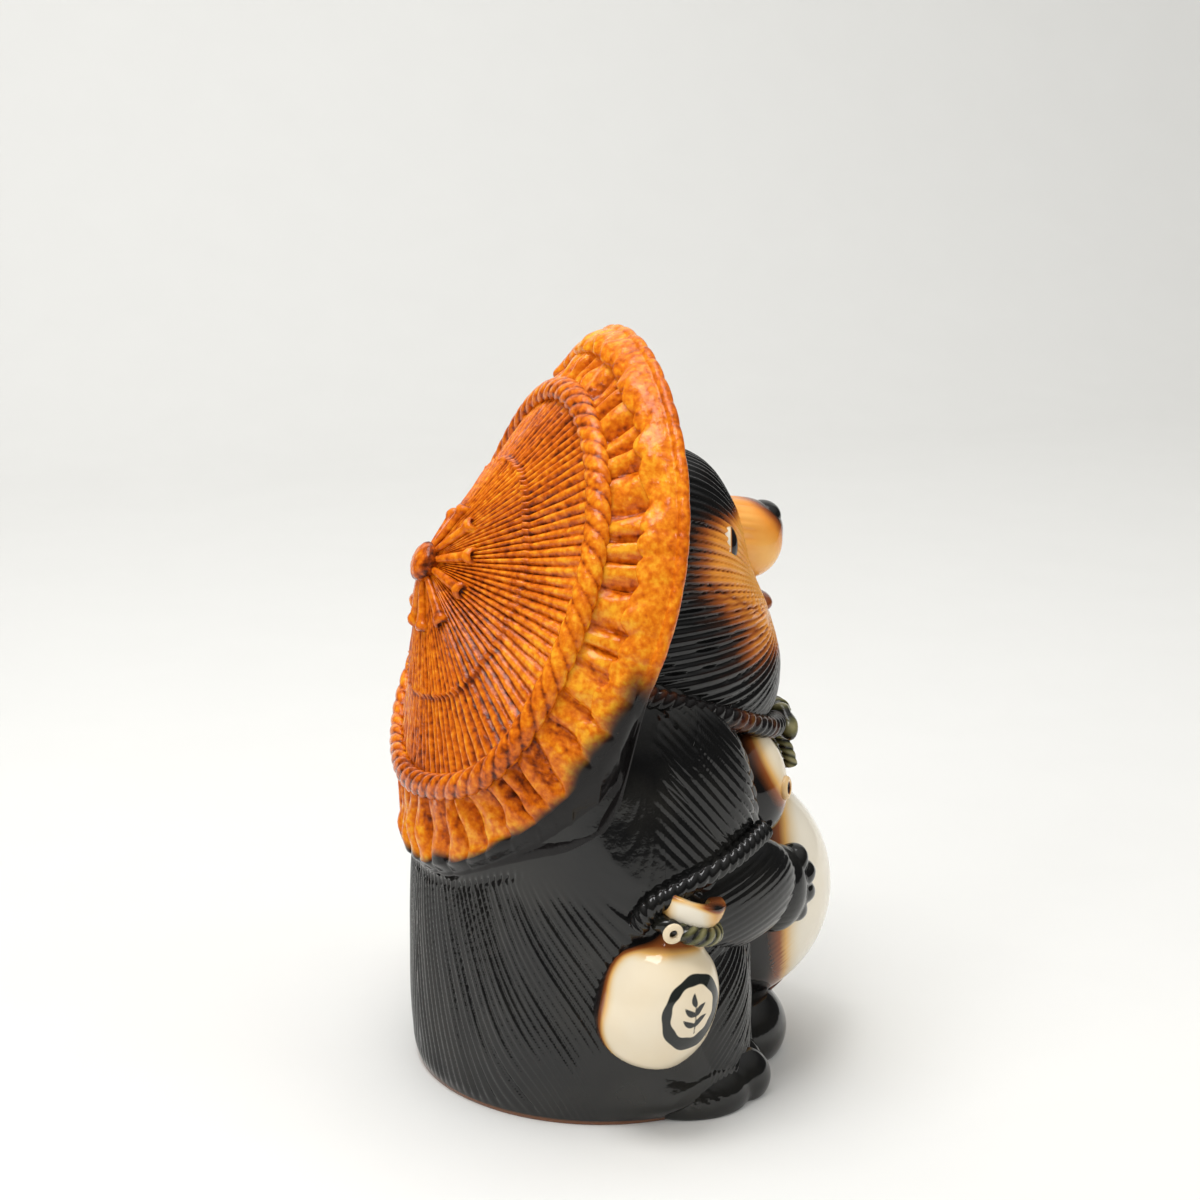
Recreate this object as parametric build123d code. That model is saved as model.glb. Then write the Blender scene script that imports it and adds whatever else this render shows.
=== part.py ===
from build123d import *
import math
import os

# A folk figure in glazed stoneware: a tanuki with a straw hat, a sake flask and a money bag.
# The figure is hollow. The body is pressed in two halves, and the head, the hat, the limbs and what it carries
# are separate clay pieces, each trimmed to the surface that it is luted on.
# The figure faces -Y, its right side is -X, and it stands on z = 0 with the middle of its base at the origin.
# Sizes are in millimetres and angles in degrees. A "set" is a place along Y, and "out" is a distance from the
# middle plane of the figure. Heights of the head, the hat and the chin cord are measured up from the chin.
# Rounded forms are stacks of similar straight-sided rings, so their facets are flat.

WALL = 7.0
CUT_REACH = 400.0

# Straight sides round a form, and tiers from end to end
BODY_SIDES = 32
FORM_SIDES = 20
FORM_TIERS = 8
SMALL_SIDES = 10
SMALL_TIERS = 6
CORD_SIDES = 8

# Body: rings of one shape at seven heights
BODY_DEPTH_TO_WIDTH = 0.9
BASE_WIDTH = 172.0
LOWER_HEIGHT = 14.0
LOWER_WIDTH = 176.0
HIP_HEIGHT = 60.0
HIP_WIDTH = 177.0
WAIST_HEIGHT = 100.0
WAIST_WIDTH = 175.0
CHEST_HEIGHT = 134.0
CHEST_WIDTH = 168.0
SHOULDER_HEIGHT = 160.0
SHOULDER_WIDTH = 156.0
SHOULDER_SET = 5.0
COLLAR_HEIGHT = 178.0
COLLAR_WIDTH = 134.0
COLLAR_SET = 10.0
NECK_HEIGHT = 190.0
NECK_WIDTH = 106.0
NECK_SET = 14.0
NECK_BORE = 48.0

# Head: rings of one shape at six heights, closed by a point
HEAD_DEPTH_TO_WIDTH = 1.17
CHIN_HEIGHT = 147.0
CHIN_WIDTH = 98.0
CHIN_SET = -11.0
JOWL_ABOVE_CHIN = 12.0
JOWL_WIDTH = 127.0
JOWL_SET = -8.0
CHEEK_ABOVE_CHIN = 31.0
CHEEK_WIDTH = 137.0
CHEEK_SET = -6.0
EYE_LINE_ABOVE_CHIN = 75.0
EYE_LINE_WIDTH = 124.0
EYE_LINE_SET = 0.0
BROW_ABOVE_CHIN = 103.0
BROW_WIDTH = 102.0
BROW_SET = -5.0
TOP_ABOVE_CHIN = 123.0
TOP_WIDTH = 72.0
TOP_SET = -8.0
CROWN_ABOVE_CHIN = 134.0

# Face
MUZZLE_SIZE = (50.0, 58.0, 38.0)
MUZZLE_SET = -60.0
MUZZLE_ABOVE_CHIN = 85.0
MUZZLE_RISE = 8.0
NOSE_SIZE = (19.0, 13.0, 13.0)
NOSE_SET = -84.0
NOSE_ABOVE_CHIN = 95.0
EYE_SIZE = (20.0, 16.0, 24.0)
EYE_OUT = 28.0
EYE_SET = -55.0
EYE_ABOVE_CHIN = 90.0
LIP_SIZE = (26.0, 14.0, 10.0)
LIP_SET = -78.0
LIP_ABOVE_CHIN = 56.0
EAR_SIZE = (26.0, 16.0, 36.0)
EAR_OUT = 45.0
EAR_SET = -8.0
EAR_ABOVE_CHIN = 113.0
EAR_SPLAY = 24.0

# Belly and breasts
BELLY_SIZE = (114.0, 114.0, 120.0)
BELLY_SET = -56.0
BELLY_HEIGHT = 68.0
BREAST_SIZE = (50.0, 40.0, 54.0)
BREAST_OUT = 35.0
BREAST_SET = -58.0
BREAST_HEIGHT = 129.0
NIPPLE_DIAMETER = 11.0
NIPPLE_HOLE = 5.0
NIPPLE_LENGTH = 6.0
NIPPLE_RISE = 1.5

# Arms and paws
UPPER_ARM_SIZE = (44.0, 66.0, 100.0)
UPPER_ARM_OUT = 72.0
UPPER_ARM_SET = -6.0
UPPER_ARM_HEIGHT = 132.0
FOREARM_SIZE = (38.0, 78.0, 50.0)
FOREARM_OUT = 73.0
FOREARM_SET = -36.0
FOREARM_HEIGHT = 94.0
FOREARM_TURN = 22.0
PALM_SIZE = (30.0, 36.0, 44.0)
PALM_OUT = 58.0
PALM_SET = -66.0
PALM_HEIGHT = 88.0
FINGER_SIZE = (14.0, 32.0, 13.0)
FINGER_COUNT = 4
FINGER_SPREAD = 42.0
FINGER_REACH = 8.0
PAW_TURN = 16.0

# Legs and feet
LEG_SIZE = (60.0, 56.0, 120.0)
LEG_OUT = 62.0
LEG_SET = -22.0
LEG_HEIGHT = 46.0
FOOT_SIZE = (64.0, 76.0, 40.0)
FOOT_OUT = 65.0
FOOT_SET = -31.0
TOE_SIZE = (24.0, 24.0, 26.0)
TOE_COUNT = 3
TOE_RING = 26.0
TOE_RING_OUT = 61.0
TOE_RING_SET = -33.0
TOE_FIRST_ANGLE = 200.0
TOE_STEP = 32.0
TOE_HEIGHT = 8.0

# Money bag and peg
BAG_LOBE_SIZE = (62.0, 54.0, 50.0)
BAG_OUT = 19.0
BAG_SET = -55.0
BAG_HEIGHT = 14.0
PEG_DIAMETER = 8.0
PEG_LENGTH = 32.0
PEG_SET = -74.0
PEG_HEIGHT = 2.0
PEG_RISE = 44.0

# Hat: an oval cone leaning back, its rim drawn forward at the sides. A "drop" is measured forward along the
# hat's axis, from its point to the braid and from the braid to the rim.
HAT_LEAN = 23.4
HAT_SET = 34.9
HAT_ABOVE_CHIN = 67.0
RIM_REACH_TOP = 126.4
RIM_REACH_SIDE = 106.0
BRAID_REACH_TOP = 90.0
BRAID_REACH_SIDE = 81.0
CROWN_DROP_TOP = 31.0
CROWN_DROP_SIDE = 43.5
BRIM_DROP_TOP = 12.5
BRIM_DROP_SIDE = 28.4
HAT_WALL = 7.0
HAT_BEHIND = 150.0
HOLLOW_RAY_STEP = 8
PLEAT_COUNT = 52
PLEAT_DEPTH = 3.0
RIBS_PER_PLEAT = 2
RIB_DEPTH = 2.0
RIB_END = 10.0
SCALLOP_DEPTH = 3.0
BRAID_WIDTH = 11.0
BRAID_RISE = 3.5
BRAID_TOP_SHARE = 0.5
KNOB_DIAMETER = 17.0
KNOB_THICKNESS = 10.0
SPOKE_COUNT = 11
SPOKE_START = 6.0
SPOKE_END = 29.0
SPOKE_DIAMETER = 7.0
SPOKE_CUP = 4.0
SPOKE_CUP_DEPTH = 2.5
SPOKE_SIDES = 6

# Cords
CHIN_CORD_DIAMETER = 12.0
CHIN_CORD_POINTS = [
    (-74, 8, 39), (-74, -8, 34), (-70, -26, 27), (-60, -45, 19), (-46, -62, 11), (-29, -76, 5), (-10, -84, 2),
    (6, -86, 2),
]
KNOT_SIZE = (18.0, 16.0, 16.0)
KNOT_SET = -88.0
KNOT_ABOVE_CHIN = 2.0
BOW_SIZE = (22.0, 10.0, 12.0)
BOW_OUT = 12.0
BOW_TURN = 25.0
TAIL_DIAMETER = 7.0
TAIL_LENGTH = 32.0
TAIL_OUT = 4.0
TAIL_SPLAY = 10.0
TAIL_SLOPE = 14.0
SLING_DIAMETER = 9.0
SLING_POINTS = [(-58, -68, 118), (-70, -52, 117), (-82, -32, 114), (-91, -10, 109), (-94, 6, 102), (-91, 12, 92)]

# Flask, turned about its own leaning axis
FLASK_SIDES = 20
FLASK_DIAMETER = 50.0
FLASK_BODY_HEIGHT = 56.0
FLASK_OUT = 88.0
FLASK_SET = 10.0
FLASK_HEIGHT = 30.0
FLASK_LEAN_FORWARD = 17.0
FLASK_LEAN_OUT = 6.0
FLASK_NECK_DIAMETER = 19.0
FLASK_NECK_HEIGHT = 12.0
LIP_RING_DIAMETER = 29.0
LIP_RING_HEIGHT = 10.0
FLASK_MOUTH = 13.0
FLASK_MOUTH_DEPTH = 16.0
COLLAR_CORD = 8.0
LOOP_DIAMETER = 10.0
LOOP_CORD = 3.0

# Account book in the left hand
BOOK_WIDTH = 44.0
BOOK_HEIGHT = 58.0
BOOK_THICKNESS = 14.0
BOOK_OUT = 92.0
BOOK_SET = -8.0
BOOK_CENTRE = 52.0
BOOK_TURN = 8.0
BOOK_CHAMFER = 1.5


def facet(corners):
    """A flat face through corners in order."""
    return Face(Wire.make_polygon([Vector(*corner) for corner in corners], close=True))


def skinned(rings, endless=False, triangles=False):
    """A solid with flat facets between rings of points in step.

    A ring of one point is a tip, and a point that a ring repeats narrows the facets that meet there.
    """
    faces = []
    for lower, upper in zip(rings, rings[1:] + rings[:1] if endless else rings[1:]):
        count = max(len(lower), len(upper))
        for index in range(count):
            onward = (index + 1) % count
            corners = [lower[index % len(lower)], lower[onward % len(lower)]]
            corners += [upper[onward % len(upper)], upper[index % len(upper)]]
            corners = list(dict.fromkeys(corners))
            if triangles and len(corners) > 3:
                faces += [facet(corners[:3]), facet(corners[2:] + corners[:1])]
            elif len(corners) > 2:
                faces.append(facet(corners))
    if not endless:
        faces += [facet(end) for end in (rings[0], rings[-1]) if len(end) > 1]
    return Solid(Shell(faces))


def above_chin(rise):
    return CHIN_HEIGHT + rise


def level_ring(width, depth, height=0.0, set_y=0.0, sides=FORM_SIDES):
    """Points round a level ellipse."""
    steps = [2 * math.pi * index / sides for index in range(sides)]
    return [(width / 2 * math.cos(angle), set_y + depth / 2 * math.sin(angle), height) for angle in steps]


def pebble(size, centre=(0, 0, 0), turn=(0, 0, 0), sides=FORM_SIDES, tiers=FORM_TIERS):
    """An egg of three full sizes: rings that swell and close on a tip at each end, turned about its middle."""
    width, depth, height = size
    rings = [[(0, 0, -height / 2)]]
    for tier in range(1, tiers):
        angle = math.pi * tier / tiers
        swell = math.sin(angle)
        rings.append(level_ring(width * swell, depth * swell, -height / 2 * math.cos(angle), sides=sides))
    rings.append([(0, 0, height / 2)])
    return Pos(*centre) * Rot(*turn) * skinned(rings)


def small_pebble(size, centre=(0, 0, 0), turn=(0, 0, 0)):
    return pebble(size, centre, turn, SMALL_SIDES, SMALL_TIERS)


def bar(diameter, length, sides=SMALL_SIDES):
    """A straight-sided round bar up from the origin."""
    return skinned([level_ring(diameter, diameter, height, sides=sides) for height in (0.0, length)])


def mirrored(piece):
    """The same piece on the other side of the figure."""
    return mirror(piece, about=Plane.YZ)


def trimmed(piece, *carriers):
    """A piece cut back to the surfaces that carry it."""
    for carrier in carriers:
        piece = piece - carrier
    return piece


def largest(piece):
    """The piece without the slips that trimming leaves beside it."""
    return max(piece.solids(), key=lambda solid: solid.volume)


def stacked(levels, depth_to_width, inset, point=None):
    """A form through rings of one shape, each given as a height, a width and a set, inset all round."""
    rings = [
        level_ring(width - 2 * inset, (width - 2 * inset) * depth_to_width, height, set_y, BODY_SIDES)
        for height, width, set_y in levels
    ]
    return skinned(rings + [[point]] if point else rings)


def body_form(inset=0.0):
    """The body's full outside, or its hollow, which is inset by the wall and open below."""
    return stacked(
        [
            (-inset, BASE_WIDTH, 0.0),
            (LOWER_HEIGHT, LOWER_WIDTH, 0.0),
            (HIP_HEIGHT, HIP_WIDTH, 0.0),
            (WAIST_HEIGHT, WAIST_WIDTH, 0.0),
            (CHEST_HEIGHT, CHEST_WIDTH, 0.0),
            (SHOULDER_HEIGHT - inset, SHOULDER_WIDTH, SHOULDER_SET),
            (COLLAR_HEIGHT - inset, COLLAR_WIDTH, COLLAR_SET),
            (NECK_HEIGHT - inset, NECK_WIDTH, NECK_SET),
        ],
        BODY_DEPTH_TO_WIDTH,
        inset,
    )


def head_form(inset=0.0):
    """The head's full outside, or its hollow, which is inset by the wall."""
    return stacked(
        [
            (above_chin(inset), CHIN_WIDTH, CHIN_SET),
            (above_chin(JOWL_ABOVE_CHIN + inset / 2), JOWL_WIDTH, JOWL_SET),
            (above_chin(CHEEK_ABOVE_CHIN), CHEEK_WIDTH, CHEEK_SET),
            (above_chin(EYE_LINE_ABOVE_CHIN), EYE_LINE_WIDTH, EYE_LINE_SET),
            (above_chin(BROW_ABOVE_CHIN - inset / 2), BROW_WIDTH, BROW_SET),
            (above_chin(TOP_ABOVE_CHIN - inset), TOP_WIDTH, TOP_SET),
        ],
        HEAD_DEPTH_TO_WIDTH,
        inset,
        (0, TOP_SET, above_chin(CROWN_ABOVE_CHIN - inset)),
    )


# The hat's own plane, through the top and bottom of its rim: x to the figure's right, y up, z back along the axis
hat_angle = math.radians(HAT_LEAN)
hat_centre = Vector(0, HAT_SET, above_chin(HAT_ABOVE_CHIN))
HAT = Plane(hat_centre, x_dir=(-1, 0, 0), z_dir=(0, math.cos(hat_angle), math.sin(hat_angle)))
crown_apex = CROWN_DROP_TOP + BRIM_DROP_TOP


def hat_place(across, up, back):
    """A place in the hat's own plane."""
    return tuple(HAT.from_local_coords(Vector(across, up, back)))


def between(first, second, share):
    """A place on the straight line from one place to another."""
    return tuple(a + (b - a) * share for a, b in zip(first, second))


def hat_rays():
    """Round the hat from its top: each ray's place at the braid and at the rim, on the outer and inner faces.

    Every second ray lies in a fold, sunk between two ribs and drawn in at the rim.
    """
    rays = []
    for index in range(2 * PLEAT_COUNT):
        fold = index % 2
        angle = math.pi / 2 + math.pi * index / PLEAT_COUNT
        side = math.cos(angle)
        top = math.sin(angle)
        braid_back = crown_apex - CROWN_DROP_SIDE * side**2 - CROWN_DROP_TOP * top**2
        rim_back = braid_back - BRIM_DROP_SIDE * side**2 - BRIM_DROP_TOP * top**2
        braid = (BRAID_REACH_SIDE * side, BRAID_REACH_TOP * top)
        rim = ((RIM_REACH_SIDE - SCALLOP_DEPTH * fold) * side, (RIM_REACH_TOP - SCALLOP_DEPTH * fold) * top)
        rays.append(
            {
                "braid": hat_place(*braid, braid_back - RIB_DEPTH * fold),
                "braid_inner": hat_place(*braid, braid_back - HAT_WALL),
                "rim": hat_place(*rim, rim_back - PLEAT_DEPTH * fold),
                "rim_inner": hat_place(*rim, rim_back - HAT_WALL),
                "rim_behind": hat_place(*rim, HAT_BEHIND),
            }
        )
    return rays


rays = hat_rays()
apex_outer = hat_place(0, 0, crown_apex)
apex_inner = hat_place(0, 0, crown_apex - HAT_WALL)
crown_band = BRAID_WIDTH / 2 / BRAID_REACH_TOP
rib_band = RIB_END / BRAID_REACH_TOP
brim_band = BRAID_WIDTH / 2 / (RIM_REACH_TOP - BRAID_REACH_TOP)


def ray_ring(name, step=1):
    return [ray[name] for ray in rays[::step]]


def brim_foot(ray):
    """Where the braid's outer edge stands on the brim."""
    return between(ray["braid"], ray["rim"], brim_band)


def crown_foot(ray):
    """Where the braid's inner edge stands on the crown."""
    return between(ray["braid"], apex_outer, crown_band)


def rib_ends():
    """Round the outer ends of the crown's ribs, which have a fold between each two."""
    ridges = [between(place, apex_outer, rib_band) for place in ray_ring("braid", 2)]
    sink = HAT.z_dir * -RIB_DEPTH
    steps = 2 * RIBS_PER_PLEAT
    places = []
    for ridge, onward in zip(ridges, ridges[1:] + ridges[:1]):
        for step in range(steps):
            place = between(ridge, onward, step / steps)
            places.append(tuple(Vector(*place) + sink) if step % 2 else place)
    return places


def repeated(ring):
    """The ring's places, each as often as there are ribs to a pleat, to keep step with the ribs."""
    return [place for place in ring for _ in range(RIBS_PER_PLEAT)]


def hat_crown():
    """The crown, with ribs that run from its point to the braid."""
    seams = [[crown_foot(ray) for ray in rays], ray_ring("braid"), ray_ring("braid_inner")]
    rings = [[apex_outer], rib_ends(), *(repeated(seam) for seam in seams), [apex_inner]]
    return skinned(rings, triangles=True)


def hat_brim():
    """The frill, pleated and scalloped in step."""
    corners = ("rim", "rim_inner", "braid_inner")
    sections = [[ray["braid"], brim_foot(ray), *(ray[name] for name in corners)] for ray in rays]
    return skinned(sections, endless=True, triangles=True)


def hat_braid():
    """A raised band over the seam between the crown and the brim."""
    rise = HAT.z_dir * BRAID_RISE
    sections = []
    for ray in rays:
        ridge = between(ray["braid"], ray["rim"], brim_band * BRAID_TOP_SHARE)
        shoulder = between(ray["braid"], apex_outer, crown_band * BRAID_TOP_SHARE)
        raised = [tuple(Vector(*place) + rise) for place in (ridge, shoulder)]
        sections.append([crown_foot(ray), ray["braid"], brim_foot(ray), *raised])
    return skinned(sections, endless=True, triangles=True)


# The crown without its folds, which the knob and the spokes are trimmed to
crown_cover = skinned([[apex_outer], ray_ring("braid", 2), [hat_place(0, 0, 0)]])


def hat_backing(step):
    """Everything behind the hat's inner face, in facets from every so many rays."""
    rings = [ray_ring(name, step) for name in ("rim_behind", "rim_inner", "braid_inner")]
    return skinned([[hat_place(0, 0, HAT_BEHIND)], *rings, [apex_inner]], triangles=True)


# The head and the body are trimmed to the hat's inner face, and their hollows stop a wall short of it
behind_hat = hat_backing(1)
behind_hat_wall = Pos(*(HAT.z_dir * -WALL)) * hat_backing(HOLLOW_RAY_STEP)
knob_form = HAT * small_pebble((KNOB_DIAMETER, KNOB_DIAMETER, KNOB_THICKNESS), (0, 0, crown_apex))


def hat_point(reach, angle):
    """A place on the crown's outer face, at a reach up the hat's longer way."""
    share = reach / BRAID_REACH_TOP
    side = math.cos(angle)
    top = math.sin(angle)
    drop = CROWN_DROP_SIDE * side**2 + CROWN_DROP_TOP * top**2
    back = crown_apex - drop * share
    return Vector(*hat_place(BRAID_REACH_SIDE * side * share, BRAID_REACH_TOP * top * share, back))


def hat_spokes():
    """Half-round spokes from the knob outwards, each with a small cup in its outer end."""
    spokes = []
    for index in range(SPOKE_COUNT):
        angle = math.pi / 2 + 2 * math.pi * index / SPOKE_COUNT
        start = hat_point(SPOKE_START, angle)
        end = hat_point(SPOKE_END, angle)
        length = (end - start).length
        spoke = bar(SPOKE_DIAMETER, length, SPOKE_SIDES)
        cup = Pos(0, 0, length - SPOKE_CUP_DEPTH) * bar(SPOKE_CUP, length, SPOKE_SIDES)
        spoke = Plane(start, z_dir=end - start) * (spoke - cup)
        spokes += trimmed(spoke, crown_cover, knob_form).solids()
    return Compound(children=spokes)


body_outer = body_form()
head_outer = head_form()

# Spaces that pieces are cut off at: below the floor, behind the seam of the halves, and left of the middle
space = Box(2 * CUT_REACH, 2 * CUT_REACH, 2 * CUT_REACH)
floor_block = Pos(0, 0, -CUT_REACH) * space
back_space = Pos(0, CUT_REACH, 0) * space
left_space = Pos(CUT_REACH, 0, 0) * space
body_hollow = trimmed(body_form(WALL), behind_hat_wall)
head_hollow = trimmed(head_form(WALL), behind_hat_wall)
neck_bore = Pos(0, NECK_SET, NECK_HEIGHT - 4 * WALL) * bar(NECK_BORE, 8 * WALL)
belly_place = (0, BELLY_SET, BELLY_HEIGHT)
belly_outer = pebble(BELLY_SIZE, belly_place)
belly_hollow = pebble([side - 2 * WALL for side in BELLY_SIZE], belly_place)
breast_outer = pebble(BREAST_SIZE, (-BREAST_OUT, BREAST_SET, BREAST_HEIGHT))
muzzle_outer = pebble(MUZZLE_SIZE, (0, MUZZLE_SET, above_chin(MUZZLE_ABOVE_CHIN)), (-MUZZLE_RISE, 0, 0))
nose_outer = small_pebble(NOSE_SIZE, (0, NOSE_SET, above_chin(NOSE_ABOVE_CHIN)))
lower_lip_outer = small_pebble(LIP_SIZE, (0, LIP_SET, above_chin(LIP_ABOVE_CHIN)))
eye_outer = small_pebble(EYE_SIZE, (-EYE_OUT, EYE_SET, above_chin(EYE_ABOVE_CHIN)))
ear_outer = small_pebble(EAR_SIZE, (-EAR_OUT, EAR_SET, above_chin(EAR_ABOVE_CHIN)), (0, -EAR_SPLAY, 0))
leg_outer = pebble(LEG_SIZE, (-LEG_OUT, LEG_SET, LEG_HEIGHT))
lobe = pebble(BAG_LOBE_SIZE, (-BAG_OUT, BAG_SET, BAG_HEIGHT))
bag_outer = trimmed(lobe + mirrored(lobe), floor_block)


def arm_form():
    """An upper arm that hangs from the shoulder and a forearm that turns in across the belly."""
    upper = pebble(UPPER_ARM_SIZE, (-UPPER_ARM_OUT, UPPER_ARM_SET, UPPER_ARM_HEIGHT))
    return upper + pebble(FOREARM_SIZE, (-FOREARM_OUT, FOREARM_SET, FOREARM_HEIGHT), (0, 0, FOREARM_TURN))


def paw_form():
    """A palm with a fan of fingers that reach forward."""
    paw = small_pebble(PALM_SIZE)
    for index in range(FINGER_COUNT):
        tilt = FINGER_SPREAD * (2 * index / (FINGER_COUNT - 1) - 1)
        paw += Rot(tilt, 0, 0) * small_pebble(FINGER_SIZE, (0, -FINGER_REACH, 0))
    return Pos(-PALM_OUT, PALM_SET, PALM_HEIGHT) * Rot(0, 0, PAW_TURN) * paw


def foot_form():
    """A low dome with a fan of toes at its front."""
    foot = pebble(FOOT_SIZE, (-FOOT_OUT, FOOT_SET, 0))
    for index in range(TOE_COUNT):
        angle = math.radians(TOE_FIRST_ANGLE + TOE_STEP * index)
        along = TOE_RING * math.cos(angle)
        across = TOE_RING * math.sin(angle)
        foot += small_pebble(TOE_SIZE, (along - TOE_RING_OUT, across + TOE_RING_SET, TOE_HEIGHT))
    return foot - floor_block


def knot_form():
    """A round knot with a bow loop at each side."""
    height = above_chin(KNOT_ABOVE_CHIN)
    bow = small_pebble(BOW_SIZE, (-BOW_OUT, KNOT_SET, height), (0, -BOW_TURN, 0))
    return small_pebble(KNOT_SIZE, (0, KNOT_SET, height)) + bow + mirrored(bow)


arm_outer = arm_form()
paw_outer = paw_form()
foot_outer = foot_form()
knot_outer = knot_form()
breasts = (breast_outer, mirrored(breast_outer))


def body_halves():
    """The hollow body, open below, at the neck and behind the belly and bag, parted along its sides."""
    shell = trimmed(body_outer, body_hollow, behind_hat, neck_bore, belly_hollow, bag_outer)
    return largest(shell & back_space), largest(shell - back_space)


def right_nipple():
    """A short ring on the breast's front."""
    front = BREAST_SET - BREAST_SIZE[1] / 2 - NIPPLE_RISE
    plane = Plane((-BREAST_OUT, front, BREAST_HEIGHT), x_dir=(1, 0, 0), z_dir=(0, 1, 0))
    return plane * (bar(NIPPLE_DIAMETER, NIPPLE_LENGTH) - bar(NIPPLE_HOLE, NIPPLE_LENGTH))


def groin_peg():
    """A round peg that rises forward from between the lobes of the bag."""
    rise = math.radians(PEG_RISE)
    plane = Plane((0, PEG_SET, PEG_HEIGHT), x_dir=(1, 0, 0), z_dir=(0, -math.cos(rise), math.sin(rise)))
    tip = small_pebble((PEG_DIAMETER, PEG_DIAMETER, PEG_DIAMETER), (0, 0, PEG_LENGTH))
    return trimmed(plane * (bar(PEG_DIAMETER, PEG_LENGTH) + tip), bag_outer, belly_outer, body_outer, floor_block)


def cord_tube(points, diameter):
    """A cord along short straight runs, mitred where they meet."""
    corners = [Vector(*point) for point in points]
    runs = [(after - before).normalized() for before, after in zip(corners, corners[1:])]
    start = Plane(corners[0], z_dir=runs[0])
    section = [start.from_local_coords(Vector(*point)) for point in level_ring(diameter, diameter, sides=CORD_SIDES)]
    rings = [section]
    for corner, run, onward in zip(corners[1:], runs, runs[1:] + runs[-1:]):
        mitre = (run + onward).normalized()
        section = [point + run * ((corner - point).dot(mitre) / run.dot(mitre)) for point in section]
        rings.append(section)
    return skinned([[tuple(point) for point in ring] for ring in rings])


def right_chin_cord():
    cord = Pos(0, 0, CHIN_HEIGHT) * cord_tube(CHIN_CORD_POINTS, CHIN_CORD_DIAMETER)
    carriers = (head_outer, body_outer, knot_outer, breast_outer, arm_outer, behind_hat)
    return largest(trimmed(cord, *carriers, left_space))


def knot_tails(chin_cord):
    """Two short cord ends that hang from the knot down the chest, clear of the chin cord."""
    slope = math.radians(TAIL_SLOPE)
    along = (-math.sin(math.radians(TAIL_SPLAY)), -math.sin(slope), -math.cos(slope))
    tip = small_pebble((TAIL_DIAMETER, TAIL_DIAMETER, TAIL_DIAMETER), (0, 0, TAIL_LENGTH))
    root = (-TAIL_OUT, KNOT_SET, above_chin(KNOT_ABOVE_CHIN))
    tail = Plane(root, z_dir=along) * (bar(TAIL_DIAMETER, TAIL_LENGTH) + tip)
    tail = trimmed(tail, knot_outer, body_outer, belly_outer, head_outer, *breasts, chin_cord, left_space)
    return Compound(children=[*tail.solids(), *mirrored(tail).solids()])


# The flask's own plane: z up its axis from the bottom of the bowl
flask_tilt = (-math.tan(math.radians(FLASK_LEAN_OUT)), -math.tan(math.radians(FLASK_LEAN_FORWARD)), 1)
FLASK = Plane((-FLASK_OUT, FLASK_SET, FLASK_HEIGHT), x_dir=(1, 0, -flask_tilt[0]), z_dir=flask_tilt)
lip_level = FLASK_BODY_HEIGHT + FLASK_NECK_HEIGHT
collar_level = lip_level - COLLAR_CORD / 2
flask_top = lip_level + LIP_RING_HEIGHT


def flask_form():
    """A round bowl that runs up into a narrow neck."""
    bowl = pebble((FLASK_DIAMETER, FLASK_DIAMETER, FLASK_BODY_HEIGHT), (0, 0, FLASK_BODY_HEIGHT / 2))
    middle = FLASK_BODY_HEIGHT / 2
    return FLASK * (bowl + Pos(0, 0, middle) * bar(FLASK_NECK_DIAMETER, lip_level - middle, FLASK_SIDES))


def cord_ring(diameter, cord, sides):
    """A closed ring of cord about the origin."""
    section = level_ring(cord, cord, sides=CORD_SIDES)
    rings = []
    for index in range(sides):
        angle = 2 * math.pi * index / sides
        reaches = [(diameter / 2 + across, along) for across, along, _ in section]
        rings.append([(reach * math.cos(angle), reach * math.sin(angle), along) for reach, along in reaches])
    return skinned(rings, endless=True)


flask_outer = flask_form()
mouth = FLASK * Pos(0, 0, flask_top - FLASK_MOUTH_DEPTH) * bar(FLASK_MOUTH, 2 * FLASK_MOUTH_DEPTH)
lip_outer = FLASK * Pos(0, 0, lip_level) * bar(LIP_RING_DIAMETER, LIP_RING_HEIGHT, FLASK_SIDES)
collar_ring = cord_ring(FLASK_NECK_DIAMETER + COLLAR_CORD, COLLAR_CORD, FLASK_SIDES)
collar_outer = FLASK * Pos(0, 0, collar_level) * collar_ring


flask_group = (flask_outer, lip_outer, collar_outer)
sling_outer = cord_tube(SLING_POINTS, SLING_DIAMETER)


def flask_loop():
    """A small upright cord eye on the outer side of the collar."""
    out = FLASK_NECK_DIAMETER / 2 + COLLAR_CORD
    eye = FLASK * Pos(-out, 0, collar_level) * Rot(0, 90, 0) * cord_ring(LOOP_DIAMETER, LOOP_CORD, SMALL_SIDES)
    return trimmed(eye, collar_outer, flask_outer, lip_outer)


def account_book():
    """A plain closed book against the left hip, under the left forearm."""
    block = Box(BOOK_THICKNESS, BOOK_WIDTH, BOOK_HEIGHT)
    book = Pos(BOOK_OUT, BOOK_SET, BOOK_CENTRE) * Rot(BOOK_TURN, 0, 0) * chamfer(block.edges(), BOOK_CHAMFER)
    return trimmed(book, body_outer, mirrored(arm_outer), mirrored(leg_outer), mirrored(foot_outer))


def save(name, piece):
    export_step(piece, os.path.join("parts", name + ".step"))


def save_pair(name, piece):
    """Writes a right-hand piece and its mirror image."""
    save("right_" + name, piece)
    save("left_" + name, mirrored(piece))


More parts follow.
